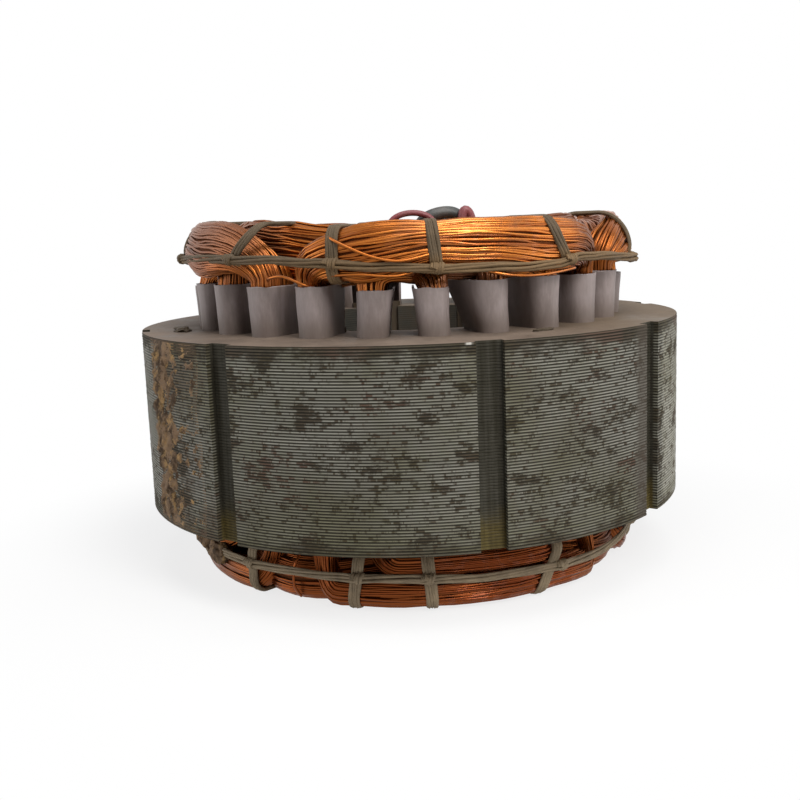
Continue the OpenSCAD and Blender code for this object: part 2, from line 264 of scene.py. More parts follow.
def ease(t):
    """Smooth change from 0 to 1."""
    t = min(max(t, 0.0), 1.0)
    return t * t * (3.0 - 2.0 * t)


def mix(a, b, t):
    """Straight change from one value to another."""
    return a + (b - a) * t


def apart(a, b):
    """Signed angle from one angle to another, the short way round."""
    return (a - b + 180.0) % 360.0 - 180.0


def outward(a):
    """Unit vector away from the axis at an angle in degrees from the first pole."""
    t = math.radians(a)
    return Vector((math.sin(t), -math.cos(t), 0.0))


def onward(a):
    """Unit vector round the axis, towards larger angles."""
    t = math.radians(a)
    return Vector((math.cos(t), math.sin(t), 0.0))


def polar(r, a, z):
    """Point in millimetres from a radius, an angle from the first pole and a height."""
    return outward(a) * r + UP * z


def wobble(x, y, z):
    """Smooth noise at a point given by three numbers."""
    return noise.noise(Vector((x, y, z)))


def half_w(x, inset):
    """Half the width of a slot at a distance from the axis, less an inset from its walls."""
    half = math.radians(STEP / 2)
    return x * math.tan(half) - (TOOTH_W / 2 + inset) / math.cos(half)


def slot_line(x0, inset, steps=5):
    """Outline of a slot body inset from its walls, from x0 out to the rounded bottom and back."""
    half = math.radians(STEP / 2)
    rho = max(min(SLOT_ROUND, 0.82 * half_w(SLOT_R, 0)) - inset, GAP)
    cx = SLOT_R - inset - rho
    cy = half_w(cx, inset) - rho / math.cos(half)
    turn = math.radians(90) + half
    lower = [(cx + rho * math.cos(q), -cy + rho * math.sin(q))
             for q in (-turn * (1 - t / steps) for t in range(steps + 1))]
    upper = [(x, -y) for x, y in reversed(lower)]
    return [(x0, -half_w(x0, inset))] + lower + upper + [(x0, half_w(x0, inset))]


def sheet_step():
    """Height of one sheet in millimetres, with a whole number of sheets in the stack."""
    return CORE_LEN / round(CORE_LEN * MM / sizes().sheet_pitch)


def slot_angle(k):
    """Angle of the middle of slot k; slots 0 to 5 lie round the first pole."""
    return -2.5 * STEP + k * STEP


def ring_faces(rings, sides, base=0, capped=False):
    """Faces between rings of points that follow each other, with or without the two ends."""
    faces = []
    for i in range(rings - 1):
        for k in range(sides):
            a, b = base + i * sides + k, base + i * sides + (k + 1) % sides
            faces.append((a, b, b + sides, a + sides))
    if capped:
        last = base + (rings - 1) * sides
        faces.append(tuple(base + k for k in reversed(range(sides))))
        faces.append(tuple(last + k for k in range(sides)))
    return faces


def place(name, mesh):
    """An object for a mesh, linked to the scene at the origin."""
    piece = bpy.data.objects.new(name, mesh)
    bpy.context.scene.collection.objects.link(piece)
    return piece


def smoothed_faces(mesh):
    """The mesh with all its faces shaded smooth."""
    mesh.polygons.foreach_set("use_smooth", [True] * len(mesh.polygons))
    return mesh


def mesh_from(name, points, faces, edges=(), smooth=True):
    """A mesh from points in millimetres."""
    mesh = bpy.data.meshes.new(name)
    mesh.from_pydata([tuple(Vector(p) * MM) for p in points], list(edges), faces)
    if smooth and faces:
        smoothed_faces(mesh)
    mesh.update()
    return mesh


def outward_normals(mesh):
    """The closed mesh with its faces pointing outwards."""
    work = bmesh.new()
    work.from_mesh(mesh)
    bmesh.ops.recalc_face_normals(work, faces=work.faces)
    work.to_mesh(mesh)
    work.free()
    return mesh


def carry(mesh, name, values, domain="POINT"):
    """Stores a number for each point or face of a mesh under a name."""
    mesh.attributes.new(name, "FLOAT", domain).data.foreach_set("value", values)


def finish_piece(piece, slot_name, *nodes):
    """Ties a finished piece to the part: its body, and the nodes it replaces, which are hidden. The
    material slot name is not used.
    """
    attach(piece, "root")
    if nodes:
        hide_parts(*nodes)


def add_piece(mesh, finish, slot_name, *nodes):
    """A finished piece of one material, named as its mesh."""
    mesh.materials.append(finish)
    finish_piece(place(mesh.name, mesh), slot_name, *nodes)


def grown(piece, tree, values):
    """Runs a node tree on a piece and leaves the result as its plain mesh."""
    modifier = piece.modifiers.new("grow", "NODES")
    modifier.node_group = tree
    for item in tree.interface.items_tree:
        if item.item_type == "SOCKET" and item.in_out == "INPUT" and item.name in values:
            modifier[item.identifier] = values[item.name]
    piece.update_tag()
    graph = bpy.context.evaluated_depsgraph_get()
    result = bpy.data.meshes.new_from_object(piece.evaluated_get(graph), depsgraph=graph)
    piece.modifiers.remove(modifier)
    old = piece.data
    piece.data = result
    result.name = piece.name
    bpy.data.meshes.remove(old)
    return piece


# Node trees

def reckoned(operation, swapped=False):
    """A method that puts a value, and another if there is one, through a math node."""
    def method(value, *others):
        terms = (value, *others)
        return value.wiring.math(operation, *(terms[::-1] if swapped else terms))
    return method


class Value:
    """A node's output that is reckoned with like a number."""

    def __init__(self, wiring, socket):
        self.wiring = wiring
        self.socket = socket

    __add__ = reckoned("ADD")
    __sub__ = reckoned("SUBTRACT")
    __rsub__ = reckoned("SUBTRACT", swapped=True)
    __mul__ = reckoned("MULTIPLY")
    __truediv__ = reckoned("DIVIDE")
    __abs__ = reckoned("ABSOLUTE")
    __gt__ = reckoned("GREATER_THAN")
    __lt__ = reckoned("LESS_THAN")


class Wiring:
    """Short hand for building a node tree."""

    def __init__(self, tree):
        self.tree = tree

    def add(self, kind, ins=None, **settings):
        """Adds a node, sets its properties, then its inputs by name or number."""
        node = self.tree.nodes.new(kind)
        for key, value in settings.items():
            setattr(node, key, value)
        for key, value in (ins or {}).items():
            self.feed(node.inputs[key], value)
        return node

    def feed(self, socket, value):
        """Links an output to a socket, or sets the socket's value; a colour is three numbers."""
        if isinstance(value, Value):
            value = value.socket
        elif isinstance(value, bpy.types.Node):
            value = value.outputs[0]
        if isinstance(value, bpy.types.NodeSocket):
            self.tree.links.new(value, socket)
        else:
            socket.default_value = (*value, 1.0) if socket.type == "RGBA" else value

    def value(self, kind, ins=None, out=0, **settings):
        """One output of a new node."""
        return Value(self, self.add(kind, ins, **settings).outputs[out])

    def values(self, node):
        """All outputs of a node by name."""
        return {socket.name: Value(self, socket) for socket in node.outputs}

    def math(self, operation, *terms):
        """A math node's output."""
        return self.value("ShaderNodeMath", dict(enumerate(terms)), operation=operation)

    def most(self, first, *others):
        """The largest of some values."""
        for other in others:
            first = self.math("MAXIMUM", first, other)
        return first

    def vector(self, operation, *terms, **ins):
        """A vector math node's output."""
        return self.value("ShaderNodeVectorMath", {**dict(enumerate(terms)), **ins}, operation=operation)

    def size(self, vector):
        """Length of a vector."""
        return self.value("ShaderNodeVectorMath", {0: vector}, "Value", operation="LENGTH")

    def xyz(self, x=0.0, y=0.0, z=0.0):
        """A vector from three numbers."""
        return self.value("ShaderNodeCombineXYZ", {0: x, 1: y, 2: z})

    def split(self, vector):
        """The three numbers of a vector."""
        outputs = self.add("ShaderNodeSeparateXYZ", {0: vector}).outputs
        return [Value(self, socket) for socket in outputs]

    def ramp(self, value, low, high, to_low=0.0, to_high=1.0):
        """Smooth step of a value between two limits."""
        ins = {"Value": value, "From Min": low, "From Max": high, "To Min": to_low, "To Max": to_high}
        return self.value("ShaderNodeMapRange", ins, interpolation_type="SMOOTHSTEP")

    def between(self, value, start, full, last, end):
        """One from full to last, falling to nothing at start and end."""
        return self.ramp(value, start, full) * self.ramp(value, end, last)

    def blend(self, factor, a, b, kind="MIX"):
        """Mix of two colours."""
        return self.value("ShaderNodeMix", {0: factor, 6: a, 7: b}, 2, data_type="RGBA", blend_type=kind)

    def layered(self, colour, *coats):
        """A colour under others, each laid on by its own mask."""
        for mask, coat in coats:
            colour = self.blend(mask, colour, coat)
        return colour

    def noise(self, vector, scale, detail=3.0, rough=0.5):
        """A noise texture's value."""
        ins = {"Vector": vector, "Scale": scale, "Detail": detail, "Roughness": rough}
        return self.value("ShaderNodeTexNoise", ins)

    def layer(self, name, kind="FLOAT"):
        """A named attribute of the geometry."""
        return self.value("GeometryNodeInputNamedAttribute", {"Name": name}, data_type=kind)

    def store(self, geometry, name, value, domain):
        """The geometry with a value stored as a named attribute."""
        ins = {"Geometry": geometry, "Name": name, "Value": value}
        return self.add("GeometryNodeStoreNamedAttribute", ins, data_type="FLOAT", domain=domain)

    def random(self, seed, low=0.0, high=1.0, **ins):
        """A random number for each element."""
        ins = {2: low, 3: high, "Seed": seed, **ins}
        return self.value("FunctionNodeRandomValue", ins, 1, data_type="FLOAT")

    def coat(self, geometry, finish, **ins):
        """The geometry with a material."""
        return self.add("GeometryNodeSetMaterial", {"Geometry": geometry, "Material": finish, **ins})

    def join(self, *pieces):
        """Several geometries as one."""
        node = self.add("GeometryNodeJoinGeometry")
        for piece in pieces:
            self.feed(node.inputs[0], piece)
        return node


def node_group(kind, name, inputs, outputs):
    """An empty node group with named sockets: tree, wiring, given values and output sockets."""
    tree = bpy.data.node_groups.new(name, kind)
    for label, socket_kind, default in inputs:
        socket = tree.interface.new_socket(label, in_out="INPUT", socket_type="NodeSocket" + socket_kind)
        if default is not None:
            socket.default_value = default
    for label, socket_kind in outputs:
        tree.interface.new_socket(label, in_out="OUTPUT", socket_type="NodeSocket" + socket_kind)
    w = Wiring(tree)
    return tree, w, w.values(w.add("NodeGroupInput")), w.add("NodeGroupOutput").inputs


@functools.cache
def strand_tree():
    """Strands laid round a path. The path is loose edges whose points carry side and lift, the
    half sizes of the section, and run, the distance along it; faces are passed on as the filling."""
    tree, w, given, out = node_group("GeometryNodeTree", "Strands round a path", (
        ("Geometry", "Geometry", None), ("Strands", "Int", 12), ("Radius", "Float", 0.0003),
        ("Sides", "Int", 5), ("Twist", "Float", 0.0), ("Squareness", "Float", 1.0),
        ("Wander", "Float", 0.0), ("Wander Length", "Float", 0.03), ("Depth", "Float", 0.0),
        ("Uneven", "Float", 0.0), ("Seed", "Int", 1), ("Wire", "Material", None),
        ("Filling", "Material", None)), (("Geometry", "Geometry"),))
    on_path = w.layer("path") > 0.5
    curve = w.add("GeometryNodeMeshToCurve", {"Mesh": given["Geometry"], "Selection": on_path})
    copies = w.add("GeometryNodeDuplicateElements", {"Geometry": curve, "Amount": given["Strands"]},
                   domain="SPLINE")
    index = Value(w, copies.outputs["Duplicate Index"])
    ident = w.layer("bundle") * 517.0 + index
    run = w.layer("run")
    row = ident * 7.31 + given["Seed"] * 31.7
    along = run / given["Wander Length"]
    sway = w.noise(w.xyz(along, row), 1.0, 1.5) - 0.5
    chance = w.random(given["Seed"] + 5.0, ID=ident)
    sink = chance * 0.6 + w.noise(w.xyz(along, row, 40.0), 1.3, 1.0) * 0.6
    share = (chance * given["Uneven"] + index) / given["Strands"]
    angle = run * given["Twist"] + share * FULL_TURN + sway * (given["Wander"] * 2.0)
    reach = 1.0 - sink * given["Depth"]

    def rounded(kind):
        value = w.math(kind, angle)
        power = w.math("POWER", abs(value), given["Squareness"])
        return w.math("SIGN", value) * power * reach

    out_share = rounded("COSINE")
    across = w.vector("SCALE", w.layer("side", "FLOAT_VECTOR"), Scale=out_share)
    height = rounded("SINE") * (out_share * w.layer("taper") + 1.0)
    upward = w.vector("SCALE", w.layer("lift", "FLOAT_VECTOR"), Scale=height)
    moved = w.add("GeometryNodeSetPosition",
                  {"Geometry": copies, "Offset": w.vector("ADD", across, upward)})
    toned = w.store(moved, "tone", w.random(given["Seed"], ID=ident), "CURVE")
    sunk = w.store(toned, "sunk", sink, "POINT")
    ring = w.add("GeometryNodeCurvePrimitiveCircle",
                 {"Resolution": given["Sides"], "Radius": given["Radius"]}, mode="RADIUS")
    tubes = w.add("GeometryNodeCurveToMesh", {"Curve": sunk, "Profile Curve": ring, "Fill Caps": True})
    wires = w.coat(w.add("GeometryNodeSetShadeSmooth", {"Geometry": tubes}), given["Wire"])
    filling = w.add("GeometryNodeDeleteGeometry",
                    {"Geometry": given["Geometry"], "Selection": on_path}, domain="POINT")
    both = w.join(w.coat(filling, given["Filling"]), wires)
    w.feed(out["Geometry"], w.add("GeometryNodeRealizeInstances", {"Geometry": both}))
    return tree


@functools.cache
def stack_tree():
    """Sheets stacked along the axis, each a little off in size and turn, between two end faces.
    The mesh holds one sheet's edges and, marked by the attribute cap, the end faces."""
    tree, w, given, out = node_group("GeometryNodeTree", "Stacked sheets", (
        ("Geometry", "Geometry", None), ("Sheets", "Int", 48), ("Pitch", "Float", 0.001),
        ("Start", "Float", 0.0), ("Size Spread", "Float", 0.0006), ("Turn Spread", "Float", 0.0004),
        ("Seed", "Int", 3), ("Edge", "Material", None), ("Wall", "Material", None),
        ("Face", "Material", None)), (("Geometry", "Geometry"),))
    parts = w.add("GeometryNodeSeparateGeometry",
                  {"Geometry": given["Geometry"], "Selection": w.layer("cap") > 0.5}, domain="FACE")
    ends, sheet = parts.outputs
    line = w.add("GeometryNodeMeshLine", {
        "Count": given["Sheets"], "Start Location": w.xyz(z=given["Start"]),
        "Offset": w.xyz(z=given["Pitch"])}, mode="OFFSET")
    size = w.random(given["Seed"], 1.0 - given["Size Spread"], 1.0)
    turn = w.random(given["Seed"] + 9.0, given["Turn Spread"] * -1.0, given["Turn Spread"])
    stacked = w.add("GeometryNodeInstanceOnPoints", {
        "Points": line, "Instance": sheet, "Rotation": w.xyz(z=turn), "Scale": w.xyz(size, size, 1.0)})
    real = w.add("GeometryNodeRealizeInstances", {"Geometry": stacked})
    edges = w.coat(real, given["Edge"])
    walls = w.coat(edges, given["Wall"], Selection=w.layer("inner") > 0.5)
    w.feed(out["Geometry"], w.join(w.coat(ends, given["Face"]), walls))
    return tree


@functools.cache
def blotch_group():
    """Soft-edged patches of two sizes, for rust, dust and old varnish."""
    group, w, given, out = node_group("ShaderNodeTree", "Blotches", (
        ("Vector", "Vector", (0, 0, 0)), ("Scale", "Float", 60.0), ("Amount", "Float", 0.5),
        ("Softness", "Float", 0.12)), (("Mask", "Float"), ("Fine", "Float")))
    broad = w.noise(given["Vector"], given["Scale"], 5.0, 0.62)
    fine = w.noise(given["Vector"], given["Scale"] * 7.0, 4.0, 0.65)
    level, soft = 1.0 - given["Amount"], given["Softness"]
    w.feed(out["Mask"], w.ramp(broad * 0.78 + fine * 0.22, level - soft, level + soft))
    w.feed(out["Fine"], fine)
    return group


@functools.cache
def grain_group():
    """Fine grain as a height, for bump, and a light and dark mottle."""
    group, w, given, out = node_group("ShaderNodeTree", "Grain", (
        ("Vector", "Vector", (0, 0, 0)), ("Scale", "Float", 900.0), ("Contrast", "Float", 0.3)),
        (("Height", "Float"), ("Mottle", "Float")))
    small = w.noise(given["Vector"], given["Scale"], 3.0, 0.6)
    large = w.noise(given["Vector"], given["Scale"] * 0.13, 3.0, 0.55)
    swing = (small * 0.4 + large * 0.6 - 0.5) * given["Contrast"]
    w.feed(out["Height"], small)
    w.feed(out["Mottle"], swing * 2.0 + 1.0)
    return group


# Materials

class Finish(Wiring):
    """The wiring of a new material, with its shader and Object coordinates."""

    def __init__(self, name):
        self.material = bpy.data.materials.new(name)
        self.material.use_nodes = True
        super().__init__(self.material.node_tree)
        self.shader = next(n for n in self.tree.nodes if n.type == "BSDF_PRINCIPLED")
        self.coords = self.value("ShaderNodeTexCoord", out="Object")

    def dress(self, **looks):
        """Feeds the shader by the names of its inputs, with _ for a space; returns the material."""
        for key, look in looks.items():
            self.feed(self.shader.inputs[key.replace("_", " ")], look)
        return self.material

    def bump(self, height, strength, distance):
        """Bump from a height."""
        return self.add("ShaderNodeBump", {"Height": height, "Strength": strength, "Distance": distance})

    def group(self, tree, **ins):
        """The outputs of a shared group placed in the material."""
        return self.values(self.add("ShaderNodeGroup", ins, node_tree=tree))

    def blotches(self, vector, scale, amount, softness):
        """Soft-edged patches."""
        return self.group(blotch_group(), Vector=vector, Scale=scale, Amount=amount, Softness=softness)

    def grain(self, vector, scale, contrast):
        """Fine grain."""
        return self.group(grain_group(), Vector=vector, Scale=scale, Contrast=contrast)

    def mottled(self, colour, grain):
        """A colour made lighter and darker by a grain."""
        return self.blend(1.0, colour, grain["Mottle"], "MULTIPLY")

    def attribute(self, name):
        """A value that the mesh carries."""
        return self.value("ShaderNodeAttribute", out="Fac", attribute_name=name)

    def drawn_out(self, share):
        """Coordinates for a pattern that is drawn out along the axis."""
        return self.vector("MULTIPLY", self.coords, (1.0, 1.0, share))

    def height(self):
        """Height over the origin."""
        return self.split(self.coords)[2]

    def sheet(self):
        """Height counted in sheets from the foot of the stack."""
        return (self.height() - foot_at(0.0)) / (sheet_step() * MM)

    def around(self):
        """Distance round the outside of the stack, from the first pole."""
        x, y, _ = self.split(self.coords)
        return self.math("ARCTAN2", x, y * -1.0) * (CORE_R * MM)

    def degrees(self):
        """Angle round the axis, from the first pole."""
        return self.around() / (CORE_R * MM * math.radians(1.0))

    def from_axis(self):
        """Distance from the axis."""
        return self.size(self.drawn_out(0.0))


def top_at(height):
    """A height over the top of the stack, in metres from the origin."""
    return (CORE_TOP + height) * MM


def foot_at(height):
    """A height over the foot of the stack, in metres from the origin."""
    return (CORE_LOW + height) * MM


def shade(colour, gain):
    """A colour made lighter or darker."""
    return tuple(min(c * gain, 1.0) for c in colour)


@functools.cache
def copper_finish():
    """Enamelled copper wire: each wire its own tone and dusty at the sides. Painted light and shade: bright
    at the front, dark and ruddy at the sides and the two ends, dark red below the stack, dark where a wire
    is sunk in its bundle and low inside the ring under the band."""
    w = Finish("enamelled_copper")
    z, degrees = w.height(), w.degrees()
    # Painted shade: below the stack the wires are laid over with a dark red.
    below = w.ramp(z, foot_at(0.0), foot_at(-6.0))
    # Painted light and shade: the front keeps its bright copper; the rest is laid over with a dark ruddy
    # brown, more at the left end and at the right end.
    front = w.between(degrees, -15.0, -3.0, 25.0, 35.0)
    right_end_shade = w.between(degrees, 25.0, 30.0, 50.0, 56.0)
    side_shade = w.ramp(degrees, -50.0, -60.0) * 0.5 + (0.36 - front * 0.36) + right_end_shade * 0.5
    # Painted shade: wires low inside the ring at the front, under the band, are darkened.
    inside = w.ramp(w.from_axis(), 0.0605, 0.0575) * w.ramp(z, top_at(17.0), top_at(14.5))
    under_band_shade = inside * w.between(degrees, -16.0, -10.0, 12.0, 17.0) * (0.7 - below * 0.7)
    patchy = w.blotches(w.coords, 70.0, 0.42, 0.1)["Mask"] * (0.26 - below * 0.2)
    left = w.ramp(w.split(w.coords)[0], -0.034, -0.054) * w.ramp(z, top_at(15.0), top_at(21.0))
    dusty = w.most(patchy, left * 0.36)
    # Painted shade: wires sunk in their bundle are darkened.
    sunk_shade = w.ramp(w.attribute("sunk"), 0.58, 0.92) * (0.65 - below * 0.45)
    glint = front * w.ramp(w.noise(w.coords, 420.0, 2.0), 0.48, 0.62)
    red, green, blue = colours().copper
    deep = (red * 0.6, green * 0.46, blue * 0.4)
    wire = w.layered(
        w.blend(w.math("POWER", w.attribute("tone"), 0.8), deep, shade(colours().copper, 1.1)),
        (below * 0.88, (0.145, 0.027, 0.005)), (side_shade, (0.20, 0.055, 0.009)),
        (under_band_shade, (0.055, 0.015, 0.004)), (dusty, (0.19, 0.094, 0.056)), (sunk_shade, (0.060, 0.017, 0.004)))
    return w.dress(
        Base_Color=wire, Roughness=dusty * 0.3 + 0.28 - glint * 0.13,
        Metallic=0.85 - w.most(dusty * 0.6, under_band_shade * 0.5),
        Coat_Weight=front * (0.15 - below * 0.13) + glint * 0.3, Coat_Roughness=0.16)


@functools.cache
def filling_finish():
    """The inside of a bundle, between the wires that show, painted dark as the shade there."""
    w = Finish("bundle_shadow")
    mottle = w.grain(w.coords, 1400.0, 0.8)["Mottle"]
    return w.dress(Base_Color=w.blend(mottle, (0.045, 0.012, 0.003), (0.13, 0.038, 0.009)),
                   Roughness=0.7, Specular_IOR_Level=0.1)


@functools.cache
def sheet_edge_finish():
    """Outside of the stack: light sheet edges broken by flecks, rust patches that follow the sheets, a
    brown strip under the rim, varnish beside the second grooves and dark groove floors. Painted light:
    brighter edges on the far right and a bright nick on the rim; painted shade and sheen in the grooves."""
    w = Finish("sheet_edges")
    around, z, degrees = w.around(), w.height(), w.degrees()
    steel, rust = colours().steel, colours().rust
    sheet = w.sheet()
    row = w.math("FLOOR", sheet)
    uneven = w.noise(w.xyz(around * 30.0, row * 3.7), 1.0, 3.0, 0.6)
    speck = w.noise(w.xyz(around * 480.0, row * 2.3), 1.0, 3.0, 0.6)
    gap = w.ramp((uneven - 0.5) * 0.2 + abs(w.math("FRACT", sheet) - 0.5), 0.14, 0.29)
    shift = (uneven - 0.5) * 0.005 + around
    patch = w.noise(w.xyz(shift * 100.0, z * 165.0), 1.0, 7.0, 0.7)
    wave = (patch - 0.5) * 0.016
    rim = w.ramp(z + wave, top_at(-4.6), top_at(-1.6))
    foot_rim = w.ramp(z - wave, foot_at(4.0), foot_at(0.8))
    rusty = w.most(w.ramp(patch, 0.535, 0.60), rim * 0.95, foot_rim * 0.7)
    flecks = w.ramp(speck, 0.53, 0.61) * w.ramp(patch, 0.38, 0.52)
    cover = w.most(rusty, flecks) * 0.9
    flat = w.xyz(around, z)
    stain = w.blotches(flat, 30.0, 0.48, 0.12)
    foot = w.ramp(z, foot_at(15.0), foot_at(1.0))

    # Painted light: from 43 to 84 degrees the sheet edges are lightened and their gaps made less dark.
    lit_right = w.between(degrees, 43.0, 46.0, 70.0, 84.0)
    veil = w.ramp(w.noise(flat, 26.0, 3.0, 0.55), 0.46, 0.64)
    damp = foot * w.ramp(uneven, 0.3, 0.6)
    light = w.layered(
        w.blend(w.ramp(uneven, 0.26, 0.76), shade(steel, 0.72), shade(steel, 1.32)),
        (lit_right * 0.7, shade(steel, 1.7)), (veil * 0.55, (0.105, 0.092, 0.066)),
        (w.most(stain["Mask"] * 0.6, damp * 0.75), (0.125, 0.118, 0.060)))

    red = w.ramp(w.noise(flat, 48.0, 3.0, 0.6), 0.5, 0.64)
    brown = w.blend(stain["Mask"], rust, (0.058, 0.047, 0.022))
    brown = w.blend(w.ramp(speck, 0.3, 0.7), shade(rust, 0.5), brown)
    brown = w.blend(red * 0.75, brown, (0.092, 0.047, 0.033))

    smear = w.between(degrees, -78.0, -68.0, -58.0, -46.0)
    smear = smear * w.ramp(w.noise(flat, 75.0, 4.0, 0.6), 0.42, 0.58)
    beside = degrees - GROOVE_ANGLE
    strip = w.ramp(wave * 200.0 + beside, -7.2, -5.2) * w.ramp(beside, 0.0, -1.5)
    # A bare nick on the rim left of the second groove, painted bright as a highlight.
    nick_glint = w.ramp(abs(degrees + 3.7), 0.9, 0.2) * w.ramp(z, top_at(-0.65), top_at(-0.45))
    edges = w.layered(
        light, (cover, brown), (smear * 0.7, (0.086, 0.058, 0.034)),
        (gap * (0.92 - lit_right * 0.4), (0.017, 0.0145, 0.0095)), (strip * 0.75, (0.060, 0.049, 0.037)),
        (nick_glint * w.ramp(speck, 0.35, 0.6), (0.52, 0.50, 0.45)))

    # Groove floors: dark varnish darkened further as painted shade in the recess, with vertical streaks as
    # a painted sheen and yellow stain at the foot.
    streaks_and_sheen = w.ramp(w.noise(w.xyz(around * 700.0, z * 25.0), 1.0, 3.0, 0.6), 0.3, 0.7)
    yellow = w.blend(streaks_and_sheen, (0.060, 0.044, 0.014), (0.115, 0.088, 0.030))
    groove = w.layered(
        w.blend(streaks_and_sheen, (0.024, 0.021, 0.013), (0.054, 0.050, 0.038)),
        (w.ramp(foot * stain["Fine"], 0.08, 0.5), yellow), (gap * 0.35, (0.014, 0.012, 0.008)))
    deep = w.ramp(w.from_axis(), (CORE_R - 0.9) * MM, (CORE_R - 1.6) * MM)
    return w.dress(
        Base_Color=w.blend(deep, edges, groove), Roughness=cover * 0.3 + 0.5,
        Metallic=0.16 - cover * 0.15, Specular_IOR_Level=0.12,
        Normal=w.bump(speck + cover * 0.5, 0.3, 0.0002))


@functools.cache
def wall_finish():
    """Slot walls and tooth tips: sheet edges painted darker as the shade in the bore."""
    w = Finish("tooth_walls")
    gap = w.ramp(abs(w.math("FRACT", w.sheet()) - 0.5), 0.3, 0.48)
    rust = w.blotches(w.coords, 60.0, 0.5, 0.12)["Mask"]
    # Painted shade: the walls take the steel at a quarter of its brightness.
    steel = w.blend(gap * 0.8, shade(colours().steel, 0.25), (0.016, 0.015, 0.012))
    return w.dress(
        Base_Color=w.blend(rust * 0.7, steel, shade(colours().rust, 1.2)),
        Roughness=rust * 0.3 + 0.45, Metallic=0.55 - rust * 0.4, Specular_IOR_Level=0.2)


@functools.cache
def face_finish():
    """End faces of the stack: varnished steel under tan dust."""
    w = Finish("dusty_face")
    dust = w.blotches(w.coords, 55.0, 0.55, 0.16)["Mask"]
    specks = w.blotches(w.coords, 420.0, 0.36, 0.05)["Mask"]
    grain = w.grain(w.coords, 1500.0, 0.35)
    oily = w.ramp(w.degrees(), 0.0, 40.0) * 0.62
    base = w.layered(
        w.blend(dust, shade(colours().dust, 0.55), colours().dust),
        (specks * 0.6, (0.055, 0.042, 0.03)), (oily, (0.125, 0.090, 0.055)))
    return w.dress(
        Base_Color=w.mottled(base, grain), Roughness=dust * 0.25 + 0.48, Specular_IOR_Level=0.2,
        Normal=w.bump(grain["Height"] + specks, 0.3, 0.0002))


@functools.cache
def crust_finish():
    """Lumpy brown and ochre rust run down the outside."""
    w = Finish("rust_crust")
    run_at = w.drawn_out(0.45)
    lumps = w.blotches(run_at, 300.0, 0.5, 0.07)
    ochre = w.blotches(run_at, 420.0, 0.44, 0.06)["Mask"]
    brown = w.blend(lumps["Mask"], (0.050, 0.030, 0.016), (0.19, 0.122, 0.072))
    return w.dress(
        Base_Color=w.blend(ochre * 0.75, brown, (0.36, 0.22, 0.088)), Roughness=0.78,
        Specular_IOR_Level=0.2, Normal=w.bump(lumps["Fine"], 0.6, 0.0004))


@functools.cache
def paper_finish():
    """Varnished slot paper: pinkish grey, mottled, darker near the stack."""
    w = Finish("slot_paper")
    fibre_at = w.drawn_out(0.25)
    grain = w.grain(fibre_at, 1600.0, 0.32)
    soak = w.blotches(fibre_at, 130.0, 0.48, 0.13)["Mask"]
    red, green, blue = colours().paper
    low = (red * 0.66, green * 0.62, blue * 0.56)
    paper = w.blend(w.ramp(w.height(), top_at(0.0), top_at(7.0)), low, shade(colours().paper, 1.12))
    paper = w.blend(soak * 0.62, paper, (0.135, 0.102, 0.088))
    return w.dress(
        Base_Color=w.mottled(paper, grain), Roughness=0.6 - soak * 0.16, Specular_IOR_Level=0.3,
        Normal=w.bump(grain["Height"], 0.25, 0.00012))


@functools.cache
def wedge_finish():
    """Pressed fibre strips in the slot mouths."""
    w = Finish("pressed_fibre")
    grain = w.grain(w.drawn_out(0.12), 1800.0, 0.5)
    return w.dress(
        Base_Color=w.mottled((0.062, 0.045, 0.029), grain), Roughness=0.62, Specular_IOR_Level=0.2,
        Normal=w.bump(grain["Height"], 0.3, 0.00015))


@functools.cache
def cord_finish():
    """Varnished twisted lacing cord: each strand its own tone, painted darker on top as shade, and dry
    below the stack.
    """
    w = Finish("varnished_cord")
    z, cord = w.height(), colours().cord
    grain = w.grain(w.coords, 2600.0, 0.5)
    soak = w.blotches(w.coords, 150.0, 0.45, 0.14)["Mask"]
    # Painted shade: the cord is darkened from 17 mm over the stack, fully from 20 mm up.
    top_shade = w.ramp(z, top_at(17.0), top_at(20.0)) * 0.75
    dry = w.blend(soak * 0.7, (0.265, 0.205, 0.132), (0.125, 0.093, 0.058))
    strand = w.layered(
        w.blend(w.attribute("tone"), shade(cord, 0.85), shade(cord, 1.25)),
        (soak * 0.55, (0.103, 0.064, 0.029)), (top_shade, (0.074, 0.056, 0.036)), (z < foot_at(0.0), dry))
    return w.dress(
        Base_Color=w.mottled(strand, grain), Roughness=0.75 - soak * 0.2, Specular_IOR_Level=0.25,
        Normal=w.bump(grain["Height"], 0.5, 0.0002))


@functools.cache
def sleeve_finish(hue):
    """Woven lead sleeve, red or black."""
    w = Finish(hue + "_sleeve_weave")
    grain = w.grain(w.coords, 2200.0, 0.45)
    dust = w.blotches(w.coords, 220.0, 0.45, 0.14)["Mask"]
    base = w.mottled(getattr(colours(), hue), grain)
    return w.dress(
        Base_Color=w.blend(dust * 0.2, base, (0.22, 0.18, 0.16)), Roughness=0.5,
        Normal=w.bump(grain["Height"], 0.35, 0.00015))


# Coils

def nearest_loop(a, loops):
    """Distance in degrees to the nearest cord loop."""
    return min(abs(apart(a, near)) for _, near, _, _ in loops)


def pole_share(a, values):
    """Value at an angle from one value for each pole, smoothly joined half way between poles."""
    place_on = (a / POLE_STEP) % POLES
    before = int(place_on)
    return mix(values[before % POLES], values[(before + 1) % POLES], ease((place_on - before) * 2 - 0.5))


def rise_at(a):
    """Rise of the upper ring at an angle, with its dip left of the front."""
    return pole_share(a, POLE_RISE) - DIP * math.exp(-(apart(a, DIP_ANGLE) / DIP_WIDE) ** 2)


